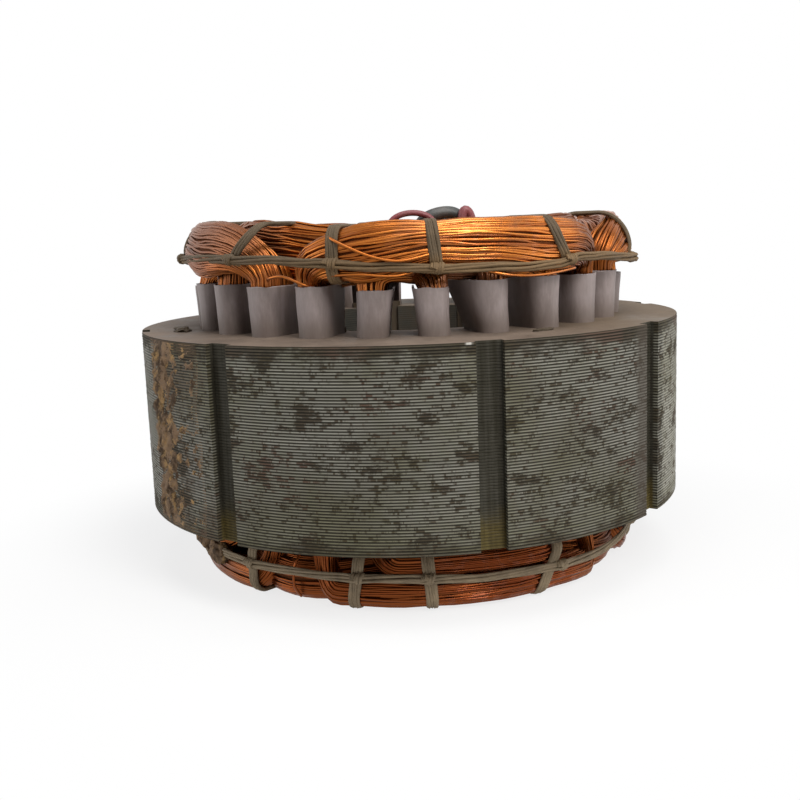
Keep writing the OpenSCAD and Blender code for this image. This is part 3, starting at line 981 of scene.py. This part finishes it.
def quarter(span, rl, hl, z_in, z_out, z_mouth, rm, hm, corner, rise=0.0, swing=0.0):
    """Half of an end turn, from inside its slot to its middle: radius, angle from the coil's
    middle, height from the stack, half sizes along the radius and across, turn and taper."""
    zc, hz = (z_in + z_out) / 2, (z_out - z_in) / 2
    da, over = math.degrees(corner / rl), math.degrees(swing / rl)
    mouth_w = 1.1 * half_w(rm, LINER_GAP + LINER_T)
    taper = hm * math.tan(math.radians(STEP / 2)) / mouth_w
    stops = [(rm, span, z, hm, mouth_w, 0.0, taper) for z in (z_mouth - 3.0, z_mouth - 0.6)]
    for j in range(1, 8):
        f = j / 7
        q = math.pi / 2 * f
        stops.append((mix(rm, rl, ease(f)), span + over * math.sin(2 * q) - da * (1 - math.cos(q)),
                      z_mouth + (zc - z_mouth) * math.sin(q),
                      mix(hm, hl, f), mix(mouth_w, hz, f), 90.0 * f, taper * (1 - f)))
    for j in range(1, 9):
        f = j / 8.4
        up = rise * ease(f * 1.25)
        stops.append((rl, (span - da) * (1 - f), zc + up / 2, hl, hz - up / 2, 90.0, 0.0))
    return stops


def end_turn(stops, middle, top, seed, bulge=0.0, hang=0.0, leaning=0.0):
    """Both halves of an end turn as sections: centre, half side vector, half lift vector, taper.
    The middle of the turn may bulge outwards and hang away from the stack."""
    both = [(stop, -1) for stop in stops] + [(stop, 1) for stop in reversed(stops)]
    loops = LOOPS_TOP if top else LOOPS_LOW
    swelling, pinching, heaving = (0.12, 0.14, 0.5) if top else (0.03, 0.06, 0.2)
    sections = []
    for (r, spread, z, hr, hc, turn, taper), hand in both:
        a = middle + hand * spread
        turned = math.radians(turn if hand < 0 else 180.0 - turn)
        if not top:
            turned = -turned
        free = ease(turn / 60.0)
        swollen = free * math.cos(math.pi / 2 * min(spread / 28.0, 1.0)) ** 1.4
        pinch = math.exp(-(nearest_loop(a, loops) / PINCH_WIDE) ** 2)
        swell = 1.0 + free * (swelling - pinching * pinch)
        lean = free * leaning * pole_share(a, POLE_LEAN) if top else 0.0
        sway = wobble(a * 0.045, seed * 3.7, 0.0)
        heave = wobble(a * 0.05, seed * 5.1, 9.0)
        drop = z + hang * swollen + free * heave * heaving
        lifted = rise_at(a) * ease(z / TOP_OVER) if top else 0.0
        level = CORE_TOP + drop + lifted if top else CORE_LOW - drop
        centre = polar(r + bulge * swollen + free * sway * 0.5 + lean * (LEAN_Z - z), a, level)
        across = hc * swell * (1.0 - 0.07 * hang * swollen)
        down = math.sin(turned)
        lift = (onward(a) * math.cos(turned) + outward(a) * (lean * down) - UP * down) * across
        sections.append((centre, outward(a) * (hr * swell), lift, taper))
    return sections


def ring_of(section, reach, squareness, sides):
    """Points round a section, at a share of its size."""
    centre, u, v, taper = section
    points = []
    for k in range(sides):
        q = FULL_TURN * k / sides
        cu, sv = math.cos(q), math.sin(q)
        cu = math.copysign(abs(cu) ** squareness, cu) * reach
        sv = math.copysign(abs(sv) ** squareness, sv) * reach
        points.append(centre + u * cu + v * (sv * (1.0 + taper * cu)))
    return points


def bundle_input(name, runs, fill, squareness, sides=12):
    """Paths for the strand tree from lists of sections, each with a filling inside it."""
    points, edges, faces = [], [], []
    layers = {"side": [], "lift": [], "run": [], "path": [], "bundle": [], "taper": []}

    def note(count, *values):
        for label, value in zip(layers, values):
            layers[label] += [value] * count

    for number, (sections, closed) in enumerate(runs):
        start, length = len(points), 0.0
        for i, (centre, u, v, taper) in enumerate(sections):
            if i:
                length += (centre - sections[i - 1][0]).length
                edges.append((start + i - 1, start + i))
            points.append(centre)
            note(1, u * MM, v * MM, length * MM, 1.0, float(number), taper)
        if closed:
            edges.append((len(points) - 1, start))
        if fill:
            faces += ring_faces(len(sections), sides, len(points), capped=True)
            for section in sections:
                points += ring_of(section, fill, squareness, sides)
            note(len(sections) * sides, Vector(), Vector(), 0.0, 0.0, 0.0, 0.0)
    mesh = mesh_from(name, points, faces, edges)
    for label, values in layers.items():
        if label in ("side", "lift"):
            layer = mesh.attributes.new(label, "FLOAT_VECTOR", "POINT")
            layer.data.foreach_set("vector", [c for v in values for c in v])
        else:
            carry(mesh, label, values)
    return place(name, mesh)


def wound(name, runs, wires, seed):
    """A bundle of wires laid along lists of sections."""
    return grown(bundle_input(name, runs, FILLING, SQUARENESS), strand_tree(), {
        "Strands": wires, "Radius": sizes().wire_d / 2, "Sides": 4, "Squareness": SQUARENESS,
        "Wander": 0.3, "Wander Length": 0.026, "Depth": 0.17, "Uneven": 0.9, "Seed": seed,
        "Wire": copper_finish(), "Filling": filling_finish()})


class STATOR_OT_coils(bpy.types.Operator):
    """Lays the wires of the twelve coils, above and below the stack"""

    bl_idname = "stator.coils"
    bl_label = "Coils"

    def execute(self, context):
        half = LAYER / 2
        tier = (END_R - LOW_SPLIT - GAP) / 2
        start_h = (LOW_SPLIT - END_IN - GAP) / 2
        low_h = LOW_OVER - LOW_SPACE
        full = (COIL_OUT + GAP - COIL_IN - 1.5) / 2
        mouth = COIL_OUT + GAP - full
        above = (0.97 * LINER_TOP, mouth, full)
        below = (LINER_LOW, mouth, full)
        inner = (quarter(NARROW_SPAN, INNER_COIL_R, half, TOP_SPACE - 1.2, TOP_OVER - INNER_COIL_DROP,
                         *above, 10.0, 0.6, 0.8),
                 quarter(NARROW_SPAN, END_R - tier, tier, LOW_SPACE, TIER_Z, *below, 0.4 * low_h))
        start = (quarter(WIDE_SPAN, END_IN + half, half, TOP_SPACE - 1.2, TOP_OVER, *above, 10.0),
                 quarter(WIDE_SPAN, END_IN + start_h, start_h, LOW_SPACE, LOW_OVER, *below, 0.56 * low_h))
        for p in range(POLES):
            outer = (quarter(WIDE_SPAN, END_R - half, half, TOP_SPACE, TOP_OVER,
                             *above, POLE_CORNER[p], 3.0, 1.6),
                     quarter(WIDE_SPAN, END_R - tier, tier, TIER_Z + GAP, LOW_OVER + 0.6,
                             *below, 0.45 * low_h))
            # Label, halves of the end turns, place between poles, wires, bulge, hang and lean.
            for kind, (label, (top, low), offset, wires, bulge, hang, leaning) in enumerate((
                    ("main_outer_coil", outer, 0.0, sizes().outer_wires, 0.0, 0.0, 1.0),
                    ("main_inner_coil", inner, 0.0, sizes().inner_wires, 0.0, 0.0, 0.5),
                    ("start_coil", start, 0.5, sizes().start_wires, 7.0, 1.75, 0.0))):
                middle = (p + offset) * POLE_STEP
                seed = 10 * kind + p + 1
                runs = [(end_turn(top, middle, True, seed, leaning=leaning), False),
                        (end_turn(low, middle, False, seed + 40, bulge, hang), False)]
                node = "%s_%d" % (label, p + 1)
                finish_piece(wound(node + "_wires", runs, wires, seed), "copper_wire", node)
        return {"FINISHED"}


# Stack

def core_outline(notch=0.0):
    """Outside of the stack with its grooves, as points in millimetres."""
    grooves = sorted((p * POLE_STEP + off) % 360.0 for p in range(POLES) for off in (0.0, GROOVE_ANGLE))
    wide = math.degrees(math.asin(GROOVE_W / 2 / CORE_R))
    floor = CORE_R - GROOVE_DEPTH - notch
    wall = GROOVE_W / 2 - notch * 0.5
    points = []
    for i, centre in enumerate(grooves):
        points += [outward(centre) * floor + onward(centre) * y for y in (-wall, 0.0, wall)]
        a0 = centre + wide
        a1 = (grooves[(i + 1) % len(grooves)] - wide - a0) % 360.0 + a0
        count = max(int((a1 - a0) / 2.2), 2)
        points += [outward(mix(a0, a1, j / count)) * (CORE_R - notch) for j in range(count + 1)]
    return points


def bore_outline():
    """Teeth, slots and bore as one line of points in millimetres."""
    points = []
    mouth = math.degrees(math.asin(SLOT_MOUTH / 2 / BORE_R))
    for k in range(SLOTS):
        a = slot_angle(k)
        line = [(BORE_R, -SLOT_MOUTH / 2), (MOUTH_X, -SLOT_MOUTH / 2)] + slot_line(BODY_X, 0.0, 3)
        line += [(MOUTH_X, SLOT_MOUTH / 2), (BORE_R, SLOT_MOUTH / 2)]
        points += [outward(a) * x + onward(a) * y for x, y in line]
        a0, a1 = a + mouth, a + STEP - mouth
        points += [outward(mix(a0, a1, j / 5)) * BORE_R for j in range(1, 5)]
    return points


def end_face(lines, z, upward):
    """Points and faces of a flat face between closed lines."""
    sheet = bmesh.new()
    for line in lines:
        verts = [sheet.verts.new(p) for p in line]
        for i, v in enumerate(verts):
            sheet.edges.new((v, verts[(i + 1) % len(verts)]))
    bmesh.ops.triangle_fill(sheet, use_beauty=True, edges=sheet.edges[:], normal=UP)
    sheet.verts.index_update()
    points = [v.co + UP * z for v in sheet.verts]
    faces = []
    for face in sheet.faces:
        order = [v.index for v in face.verts]
        up = face.normal.z > 0 or face.calc_area() == 0.0
        faces.append(order if up == upward else order[::-1])
    sheet.free()
    return points, faces


class STATOR_OT_stack(bpy.types.Operator):
    """Stacks the laminations between their two end faces"""

    bl_idname = "stator.stack"
    bl_label = "Lamination stack"

    def execute(self, context):
        pitch = sheet_step()
        outer, deep, inner = core_outline(), core_outline(sizes().sheet_notch / MM), bore_outline()
        points = []
        sheet = ((0.0, deep), (BEVEL, outer), (1.0 - BEVEL, outer), (1.0, deep), (0.0, inner), (1.0, inner))
        for share, line in sheet:
            points += [p + UP * (share * pitch) for p in line]
        faces = ring_faces(4, len(outer))
        inside = [0.0] * len(faces) + [1.0] * len(inner)
        faces += [(a, d, c, b) for a, b, c, d in ring_faces(2, len(inner), 4 * len(outer))]
        cap = [0.0] * len(faces)
        for z, upward in ((CORE_TOP, True), (CORE_LOW, False)):
            more, flat = end_face((deep, inner), z, upward)
            faces += [tuple(len(points) + i for i in face) for face in flat]
            points += more
            cap += [1.0] * len(flat)
            inside += [0.0] * len(flat)
        mesh = mesh_from("laminated_stack", points, faces, smooth=False)
        carry(mesh, "cap", cap, "FACE")
        carry(mesh, "inner", inside, "FACE")
        piece = grown(place("laminated_stack", mesh), stack_tree(), {
            "Sheets": round(CORE_LEN / pitch), "Pitch": pitch * MM, "Start": CORE_LOW * MM,
            "Size Spread": 0.0009, "Turn Spread": 0.0004, "Seed": 3,
            "Edge": sheet_edge_finish(), "Wall": wall_finish(), "Face": face_finish()})
        finish_piece(piece, "lamination_steel", "lamination_core")
        return {"FINISHED"}


class STATOR_OT_crust(bpy.types.Operator):
    """Adds the lumpy rust run down the outside of the stack"""

    bl_idname = "stator.crust"
    bl_label = "Rust crust"

    def execute(self, context):
        columns, rows = CRUST_GRID
        points, faces = [], []
        for layer in (0, 1):
            for j in range(rows + 1):
                z = mix(CORE_LOW + 0.4, CORE_TOP - 0.4, j / rows)
                drift = 1.4 * wobble(z * 0.09, 3.0, 1.0)
                width = 0.26 + 0.12 * wobble(z * 0.13, 8.0, 2.0)
                for i in range(columns + 1):
                    s = 2.0 * i / columns - 1.0
                    a = CRUST_ANGLE + drift + CRUST_HALF * s
                    rim = min(1.0, 6.0 * (1.0 - abs(s))) * min(1.0, 12.0 * min(j, rows - j) / rows)
                    spot = polar(CORE_R, a, z)
                    lumps = noise.fractal(spot * 0.42, 1.0, 2.0, 5) + 0.5 * noise.noise(spot * 1.6)
                    bias = 0.5 - 2.2 * max(0.0, abs(s + 0.4) - width)
                    height = rim * min(max(-0.1, max(bias, -0.55) + 1.15 * lumps), 1.5) - 0.1
                    points.append(polar(CORE_R + (height if layer else -0.6), a, z))
        wide, count = columns + 1, (columns + 1) * (rows + 1)
        for j in range(rows):
            for i in range(columns):
                a = j * wide + i
                faces.append((a, a + wide, a + wide + 1, a + 1))
                faces.append((count + a, count + a + 1, count + a + wide + 1, count + a + wide))
        border = list(range(wide))
        border += [j * wide + columns for j in range(1, rows + 1)]
        border += [rows * wide + i for i in range(columns - 1, -1, -1)]
        border += [j * wide for j in range(rows - 1, 0, -1)]
        for a, b in zip(border, border[1:] + border[:1]):
            faces.append((a, b, count + b, count + a))
        mesh = outward_normals(mesh_from("rust_crust", points, faces))
        add_piece(mesh, crust_finish(), "lamination_steel")
        return {"FINISHED"}


# Liners and wedges

class STATOR_OT_liners(bpy.types.Operator):
    """Folds a paper liner for each slot, with a soft flare where it stands out"""

    bl_idname = "stator.liners"
    bl_label = "Slot liners"

    def execute(self, context):
        front = len(LINER_STEP)
        line = slot_line(LINER_X, LINER_GAP, 6) + slot_line(LINER_X, LINER_GAP + LINER_T, 6)[::-1]
        n = len(line)
        for k in range(SLOTS):
            a = slot_angle(k)
            tall = LINER_TOP * (1 + LINER_STEP[k % front])
            levels = [CORE_LOW - LINER_LOW, CORE_LOW - LINER_LOW / 2, CORE_LOW - 0.2]
            levels += [CORE_TOP + tall * share for share in LINER_ROWS]
            lean = LINER_LEAN[k] if k < front else 0.8 * wobble(k * 2.3, 0.0, 5.0)
            splay = LINER_SPLAY[k] if k < front else 0.0
            points = []
            for z in levels:
                over = max(0.0, (z - CORE_TOP) / tall)
                under = max(0.0, (CORE_LOW - z) / LINER_LOW)
                flare = LINER_FLARE * over ** 1.6 + 0.2 * under
                for i, (x, y) in enumerate(line):
                    s = i if i < n // 2 else n - 1 - i
                    push = over * (LINER_WAVE * wobble(s * 0.33, z * 0.16, k * 4.1) + 0.1)
                    share = (x - LINER_X) / (SLOT_R - LINER_X)
                    edge = 0.28 * wobble(s * 0.4, k * 3.3, 2.0) if z == levels[-1] else 0.0
                    side = y + math.copysign(flare + push, y) * min(abs(y) / 2.0, 1.0) + lean * over
                    if y < 0:
                        side -= splay * over * (1.0 - share)
                    points.append(polar(x + (flare * 1.1 + push) * share, a, z + edge) + onward(a) * side)
            faces = ring_faces(len(levels), n)
            top = (len(levels) - 1) * n
            for i in range(n // 2 - 1):
                faces.append((i + 1, i, n - 1 - i, n - 2 - i))
                faces.append((top + i, top + i + 1, top + n - 2 - i, top + n - 1 - i))
            mesh = outward_normals(mesh_from("paper_liner_%02d" % (k + 1), points, faces))
            add_piece(mesh, paper_finish(), "liner_paper", "slot_liner_%02d" % (k + 1))
        return {"FINISHED"}


class STATOR_OT_wedges(bpy.types.Operator):
    """Gives the slot wedges their fibre finish"""

    bl_idname = "stator.wedges"
    bl_label = "Slot wedges"

    def execute(self, context):
        wedges = frame["nodes"]["slot_wedges"]
        wedges.data.materials.clear()
        wedges.data.materials.append(wedge_finish())
        return {"FINISHED"}


# Lacing

def cord_sections(route, closed, wide, thick, step=1.0):
    """Sections along a route of points with outward normals, evenly spaced."""
    table = np.array([list(p) + list(q) for p, q in (route + route[:1] if closed else route)])
    lengths = [0.0]
    for before, after in zip(route, route[1:] + route[:1] if closed else route[1:]):
        lengths.append(lengths[-1] + (after[0] - before[0]).length)
    count = max(int(lengths[-1] / step), 8)
    at = np.linspace(0.0, lengths[-1], count + 1)
    if closed:
        at = at[:-1]
    values = np.array([np.interp(at, lengths, table[:, c]) for c in range(6)]).T
    sections = []
    total = len(values)
    for i, row in enumerate(values):
        before = values[i - 1] if i or closed else values[i]
        after = values[(i + 1) % total] if i + 1 < total or closed else values[i]
        ahead = Vector(after[:3] - before[:3]).normalized()
        normal = Vector(row[3:])
        normal = (normal - ahead * normal.dot(ahead)).normalized()
        sections.append((Vector(row[:3]), ahead.cross(normal) * wide, normal * thick, 0.0))
    return sections


def laid_cord(name, runs, node, seed):
    """Twisted cord along lists of sections."""
    piece = grown(bundle_input(name, runs, 0.0, 1.0), strand_tree(), {
        "Strands": 5, "Radius": sizes().cord_d * 0.25, "Sides": 5, "Squareness": 1.0, "Twist": 70.0,
        "Wander": 0.22, "Wander Length": 0.009, "Depth": 0.08, "Uneven": 0.4, "Seed": seed,
        "Wire": cord_finish(), "Filling": cord_finish()})
    finish_piece(piece, "lacing_cord", node)


def loop_route(ri, ro, z_near, z_far, face_near, face_far, tooth, lean):
    """A cord loop round the end turns: over their outer face and away from the stack, back along the
    inner face, and between the coil sides at a tooth."""
    bend = min(3.4 + 8.0 * lean, abs(z_far - z_near) / 2 - 0.2)
    flip = 1.0 if z_far > z_near else -1.0
    flat = []
    for r, z, facing in ((ro, z_near, -45.0), (ro, z_far, 45.0), (ri, z_far, 135.0), (ri, z_near, 225.0)):
        cr = r - bend if r == ro else r + bend
        cz = z - bend * flip if z == z_far else z + bend * flip
        for j in range(7):
            q = math.radians(facing - 45.0 + 15.0 * j)
            flat.append((cr + bend * math.cos(q), cz + bend * flip * math.sin(q), math.degrees(q)))
    route = []
    for (r0, z0, q0), (r1, z1, q1) in zip(flat, flat[1:] + flat[:1]):
        for f in (0.0, 1 / 3, 2 / 3):
            r, z, q = mix(r0, r1, f), mix(z0, z1, f), math.radians(q0 + apart(q1, q0) * f)
            rise = ease((z - z_near) / (z_far - z_near))
            inward = ease((ro - r - 2.0) / (ro - ri - 4.0)) * (1.0 - rise)
            a = mix(mix(face_near, face_far, rise), tooth, inward)
            r += lean * (CORE_TOP + LEAN_Z - z) * ease((r - ri) / (ro - ri))
            route.append((polar(r, a, z), outward(a) * math.cos(q) + UP * (flip * math.sin(q))))
    return route


def inner_face(a, top):
    """Radius of the innermost coil at an angle. Beside a pole's middle no start coil lies inside
    the main ones."""
    away = abs((a + POLE_STEP / 2) % POLE_STEP - POLE_STEP / 2)
    if away > 0.75 * STEP:
        return END_IN
    return END_IN + LAYER + GAP if top else LOW_SPLIT


def tooth_near(a):
    """The tooth nearest to an angle."""
    return STEP * round(a / STEP)


def wavy(a, stops):
    """Value at an angle from pairs of angle and value, smoothly joined round the axis."""
    ring = stops + ((stops[0][0] + 360.0, stops[0][1]),)
    a = (a - ring[0][0]) % 360.0 + ring[0][0]
    for (a0, v0), (a1, v1) in zip(ring, ring[1:]):
        if a0 <= a <= a1:
            return mix(v0, v1, ease((a - a0) / (a1 - a0)))
    return ring[0][1]


def band_route(stops, loops, top, count=540):
    """The cord round the outside of the end turns, lifted where it crosses a loop."""
    route = []
    for i in range(count):
        a = -180.0 + 360.0 * i / count
        z = wavy(a, stops)
        out = 0.45 + 0.7 * math.exp(-(nearest_loop(a, loops) / 2.4) ** 2)
        out += pole_share(a, POLE_LEAN) * (LEAN_Z - z) if top else 0.0
        route.append((polar(END_R + out, a, CORE_TOP + z if top else CORE_LOW - z), outward(a)))
    return route


def hitch_route(a, z, count=30):
    """A small hitch round the band where a loop crosses it."""
    route = []
    for j in range(count):
        share = j / (count - 1)
        q = FULL_TURN * 1.35 * share
        normal = outward(a) * math.cos(q) + UP * math.sin(q)
        spot = polar(END_R + 0.9, a, z) + onward(a) * (2.0 * (share - 0.5))
        route.append((spot + normal * 0.95, normal))
    return route


class STATOR_OT_lacing(bpy.types.Operator):
    """Laces the end turns with twisted cord: doubled loops, bands and hitches"""

    bl_idname = "stator.lacing"
    bl_label = "Lacing"

    def execute(self, context):
        cord = sizes().cord_d / MM
        wide, thick = cord * CORD_HALF_W, cord * CORD_HALF_T
        beside = math.degrees(CORD_BESIDE * cord / END_R)
        for label, top, loops, stops, base, flip, seed in (
                ("top", True, LOOPS_TOP, BAND_TOP, CORE_TOP, 1.0, 71),
                ("low", False, LOOPS_LOW, BAND_LOW, CORE_LOW, -1.0, 72)):
            runs, hitches = [], []
            for far, near, reach, end in loops:
                lean = pole_share(far, POLE_LEAN) if top else 0.0
                end += rise_at(far) if top else 0.0
                for hand in (-beside, beside):
                    route = loop_route(
                        inner_face(near, top) - CORD_T / 2, END_R + 0.2 + 1.6 * lean, base + flip * reach,
                        base + flip * end, near + hand, far + hand, tooth_near(near), lean)
                    runs.append((cord_sections(route, True, wide, thick), True))
                hitch = hitch_route(near, base + flip * wavy(near, stops))
                hitches.append((cord_sections(hitch, False, wide, thick, 0.6), False))
            laid_cord(label + "_cord_loops", runs, label + "_lacing_loops", seed)
            band = cord_sections(band_route(stops, loops, top), True, wide * 1.3, thick * 1.5)
            laid_cord(label + "_cord_band", [(band, True)] + hitches, label + "_lacing_band", seed + 2)
        return {"FINISHED"}


# Leads, loose wires and lumps

def tube(name, route, radius, sides=14):
    """A round tube along a route of points, closed at its ends."""
    sections = cord_sections(route, False, radius, radius, 0.35)
    points = []
    for section in sections:
        points += ring_of(section, 1.0, 1.0, sides)
    return outward_normals(mesh_from(name, points, ring_faces(len(sections), sides, capped=True)))


def lead_route(r, a0, a1, rise, skew, thick):
    """An arch over the inner coil of the first pole; skew moves its top towards a1."""
    z0 = CORE_TOP + TOP_OVER - INNER_COIL_DROP - 0.6
    route = []
    for j in range(41):
        q = math.pi * j / 40
        s = (1 - math.cos(q)) / 2
        a = mix(a0, a1, s + skew * s * (1 - s))
        route.append((polar(r, a, z0 + math.sin(q) ** 0.75 * (rise + 0.84 - thick / 2)), outward(a)))
    return route


class STATOR_OT_leads(bpy.types.Operator):
    """Arches the sleeved leads over the front of the upper end turns"""

    bl_idname = "stator.leads"
    bl_label = "Leads"

    def execute(self, context):
        # Name, node, colour, place across the coil, angles of the two feet, rise, skew and thickness.
        for name, node, hue, off, a0, a1, rise, skew, thick in (
                ("red_sleeve_left", "red_lead_left", "red", 1.15, -18, -6, 4.35, 0.0, 1.4),
                ("black_sleeve", "black_lead", "black", -1.15, -10, 1.6, 5.0, 0.5, 3.0),
                ("red_sleeve_right", "red_lead_right", "red", 1.15, 0.7, 3.4, 5.0, -0.5, 2.2)):
            route = lead_route(INNER_COIL_R + off, a0, a1, rise, skew, thick)
            add_piece(tube(name, route, thick / 2), sleeve_finish(hue), hue + "_sleeve", node)
        return {"FINISHED"}


def smoothed(knots, per=8):
    """Points of a smooth line through a few knots."""
    ends = [knots[0]] + list(knots) + [knots[-1]]
    points = []
    for i in range(len(knots) - 1):
        p0, p1, p2, p3 = (Vector(ends[i + j]) for j in range(4))
        for j in range(per):
            t = j / per
            points.append(0.5 * (2 * p1 + (p2 - p0) * t + (2 * p0 - 5 * p1 + 4 * p2 - p3) * t ** 2
                                 + (3 * p1 - p0 - 3 * p2 + p3) * t ** 3))
    return points + [Vector(knots[-1])]


class STATOR_OT_stray_wires(bpy.types.Operator):
    """Adds the few wires that stand off the bundles"""

    bl_idname = "stator.stray_wires"
    bl_label = "Stray wires"

    def execute(self, context):
        whole = bmesh.new()
        for knots in STRAY_WIRES:
            route = [(polar(r, a, CORE_TOP + z), outward(a)) for a, r, z in smoothed(knots)]
            strand = tube("strand", route, sizes().wire_d / 2 / MM, 6)
            whole.from_mesh(strand)
            bpy.data.meshes.remove(strand)
        mesh = bpy.data.meshes.new("stray_wires")
        whole.to_mesh(mesh)
        whole.free()
        carry(mesh, "tone", [STRAY_TONE] * len(mesh.vertices))
        add_piece(mesh, copper_finish(), "copper_wire")
        return {"FINISHED"}


def lump(name, centre, along, across, up, rough, seed):
    """A closed lump with a noisy surface, from its centre and three half axes."""
    work = bmesh.new()
    bmesh.ops.create_icosphere(work, subdivisions=4, radius=1.0)
    for vert in work.verts:
        swell = 1.0 + rough * noise.fractal(vert.co * 1.9 + Vector((seed, 0, 0)), 1.0, 2.0, 4)
        spot = vert.co * swell
        vert.co = (centre + along * spot.x + across * spot.y + up * spot.z) * MM
    mesh = bpy.data.meshes.new(name)
    work.to_mesh(mesh)
    work.free()
    return outward_normals(smoothed_faces(mesh))


class STATOR_OT_crumbs(bpy.types.Operator):
    """Adds the varnish lumps under the stack and the crumbs on its top face"""

    bl_idname = "stator.crumbs"
    bl_label = "Varnish lumps"

    def execute(self, context):
        for number, (name, (a, r, z, along, across, high)) in enumerate(LUMPS.items()):
            axes = (onward(a) * along, outward(a) * across, UP * high)
            mesh = lump(name, polar(r, a, z), *axes, LUMP_ROUGH, 7.0 * number)
            finish = wedge_finish() if name.startswith("crumb") else crust_finish()
            add_piece(mesh, finish, "lamination_steel")
        return {"FINISHED"}


# Stage

def white_rays(w):
    """One for the rays that see the background: from the camera, off metal and through clear things."""
    rays = w.values(w.add("ShaderNodeLightPath"))
    return w.most(rays["Is Camera Ray"], rays["Is Glossy Ray"], rays["Is Transmission Ray"])


class STATOR_OT_stage(bpy.types.Operator):
    """Sets the camera, the pale floor and the soft lights"""

    bl_idname = "stator.stage"
    bl_label = "Stage"

    def execute(self, context):
        turn = Matrix.Rotation(math.radians(VIEW_ANGLE), 3, "Z")
        context.scene.view_settings.view_transform = "Standard"
        self.viewpoint(context.scene, turn)
        self.floor()
        self.lights(turn)
        self.surroundings(context.scene)
        return {"FINISHED"}

    def viewpoint(self, scene, turn):
        """The camera where the photograph was taken from."""
        yaw, pitch, roll = (math.radians(v) for v in (VIEW_YAW, VIEW_PITCH, VIEW_ROLL))
        right = Vector((math.cos(yaw), -math.sin(yaw), 0))
        level = Vector((math.sin(yaw), math.cos(yaw), 0))
        ahead = level * math.cos(pitch) - UP * math.sin(pitch)
        up = level * math.sin(pitch) + UP * math.cos(pitch)
        across = right * math.cos(roll) + up * math.sin(roll)
        upright = up * math.cos(roll) - right * math.sin(roll)
        axes = turn @ Matrix((across, upright, -ahead)).transposed()
        spot = turn @ Vector((0, -VIEW_DISTANCE, 0)) + UP * (CORE_TOP + VIEW_HEIGHT)
        lens = bpy.data.cameras.new("viewpoint")
        lens.lens = VIEW_LENS
        lens.sensor_width = SENSOR
        lens.clip_start = 0.01
        lens.clip_end = 100.0
        camera = place("viewpoint", lens)
        camera.matrix_world = Matrix.Translation(spot * MM) @ axes.to_4x4()
        scene.camera = camera

    def floor(self):
        """A wide pale floor that fades to white away from the object."""
        corners = [polar(FLOOR_R, a, 0) for a in range(0, 360, 15)]
        mesh = mesh_from("floor", corners, [tuple(range(len(corners)))], smooth=False)
        plain = bpy.data.materials.new("pale_floor")
        plain.use_nodes = True
        w = Wiring(plain.node_tree)
        w.tree.nodes.clear()
        away = w.size(w.value("ShaderNodeTexCoord", out="Object"))
        seen = white_rays(w) * w.ramp(away, *FLOOR_FADE, 0.78, 1.0)
        diffuse = w.add("ShaderNodeBsdfDiffuse", {"Color": (0.86, 0.86, 0.86)})
        white = w.add("ShaderNodeEmission", {"Color": (1, 1, 1), "Strength": 1.0})
        both = w.add("ShaderNodeMixShader", {0: seen, 1: diffuse, 2: white})
        w.add("ShaderNodeOutputMaterial", {"Surface": both})
        mesh.materials.append(plain)
        place("floor", mesh)

    def lights(self, turn):
        """Soft boxes over and beside the viewpoint."""
        for name, (spot, width, power, tint) in LAMPS.items():
            lamp = bpy.data.lights.new(name, "AREA")
            lamp.shape = "DISK"
            lamp.size = width
            lamp.energy = power
            lamp.color = tint
            stand = (turn @ Vector(spot)) * MM
            aim = (LAMP_AIM - stand).to_track_quat("-Z", "Y")
            place(name, lamp).matrix_world = Matrix.Translation(stand) @ aim.to_matrix().to_4x4()

    def surroundings(self, scene):
        """White to the camera and to reflections, softer as a light."""
        world = bpy.data.worlds.new("studio")
        world.use_nodes = True
        w = Wiring(world.node_tree)
        w.tree.nodes.clear()
        soft = w.add("ShaderNodeBackground", {"Color": (0.93, 0.95, 1.0), "Strength": 0.14})
        white = w.add("ShaderNodeBackground", {"Color": (1, 1, 1), "Strength": 1.0})
        both = w.add("ShaderNodeMixShader", {0: white_rays(w), 1: soft, 2: white})
        w.add("ShaderNodeOutputWorld", {"Surface": both})
        scene.world = world


class VIEW3D_PT_stator(bpy.types.Panel):
    """Sizes, colours and pieces of the stator"""

    bl_label = "Wound stator"
    bl_idname = "VIEW3D_PT_stator"
    bl_space_type = "VIEW_3D"
    bl_region_type = "UI"
    bl_category = "Stator"

    def draw(self, context):
        for group in (context.scene.stator_sizes, context.scene.stator_colours):
            box = self.layout.box()
            for name in group.__annotations__:
                box.prop(group, name)
        for operator in OPERATORS:
            self.layout.operator(operator.bl_idname)


OPERATORS = (
    STATOR_OT_stage, STATOR_OT_stack, STATOR_OT_crust, STATOR_OT_liners, STATOR_OT_wedges,
    STATOR_OT_coils, STATOR_OT_lacing, STATOR_OT_leads, STATOR_OT_stray_wires, STATOR_OT_crumbs,
)
CLASSES = (StatorSizes, StatorColours) + OPERATORS + (VIEW3D_PT_stator,)


def register():
    for item in CLASSES:
        bpy.utils.register_class(item)
    bpy.types.Scene.stator_sizes = bpy.props.PointerProperty(type=StatorSizes)
    bpy.types.Scene.stator_colours = bpy.props.PointerProperty(type=StatorColours)


def unregister():
    del bpy.types.Scene.stator_colours
    del bpy.types.Scene.stator_sizes
    for item in reversed(CLASSES):
        bpy.utils.unregister_class(item)


def main():
    register()
    for operator in OPERATORS:
        group, name = operator.bl_idname.split(".")
        getattr(getattr(bpy.ops, group), name)()
    bpy.context.view_layer.update()


if __name__ == "__main__":
    main()
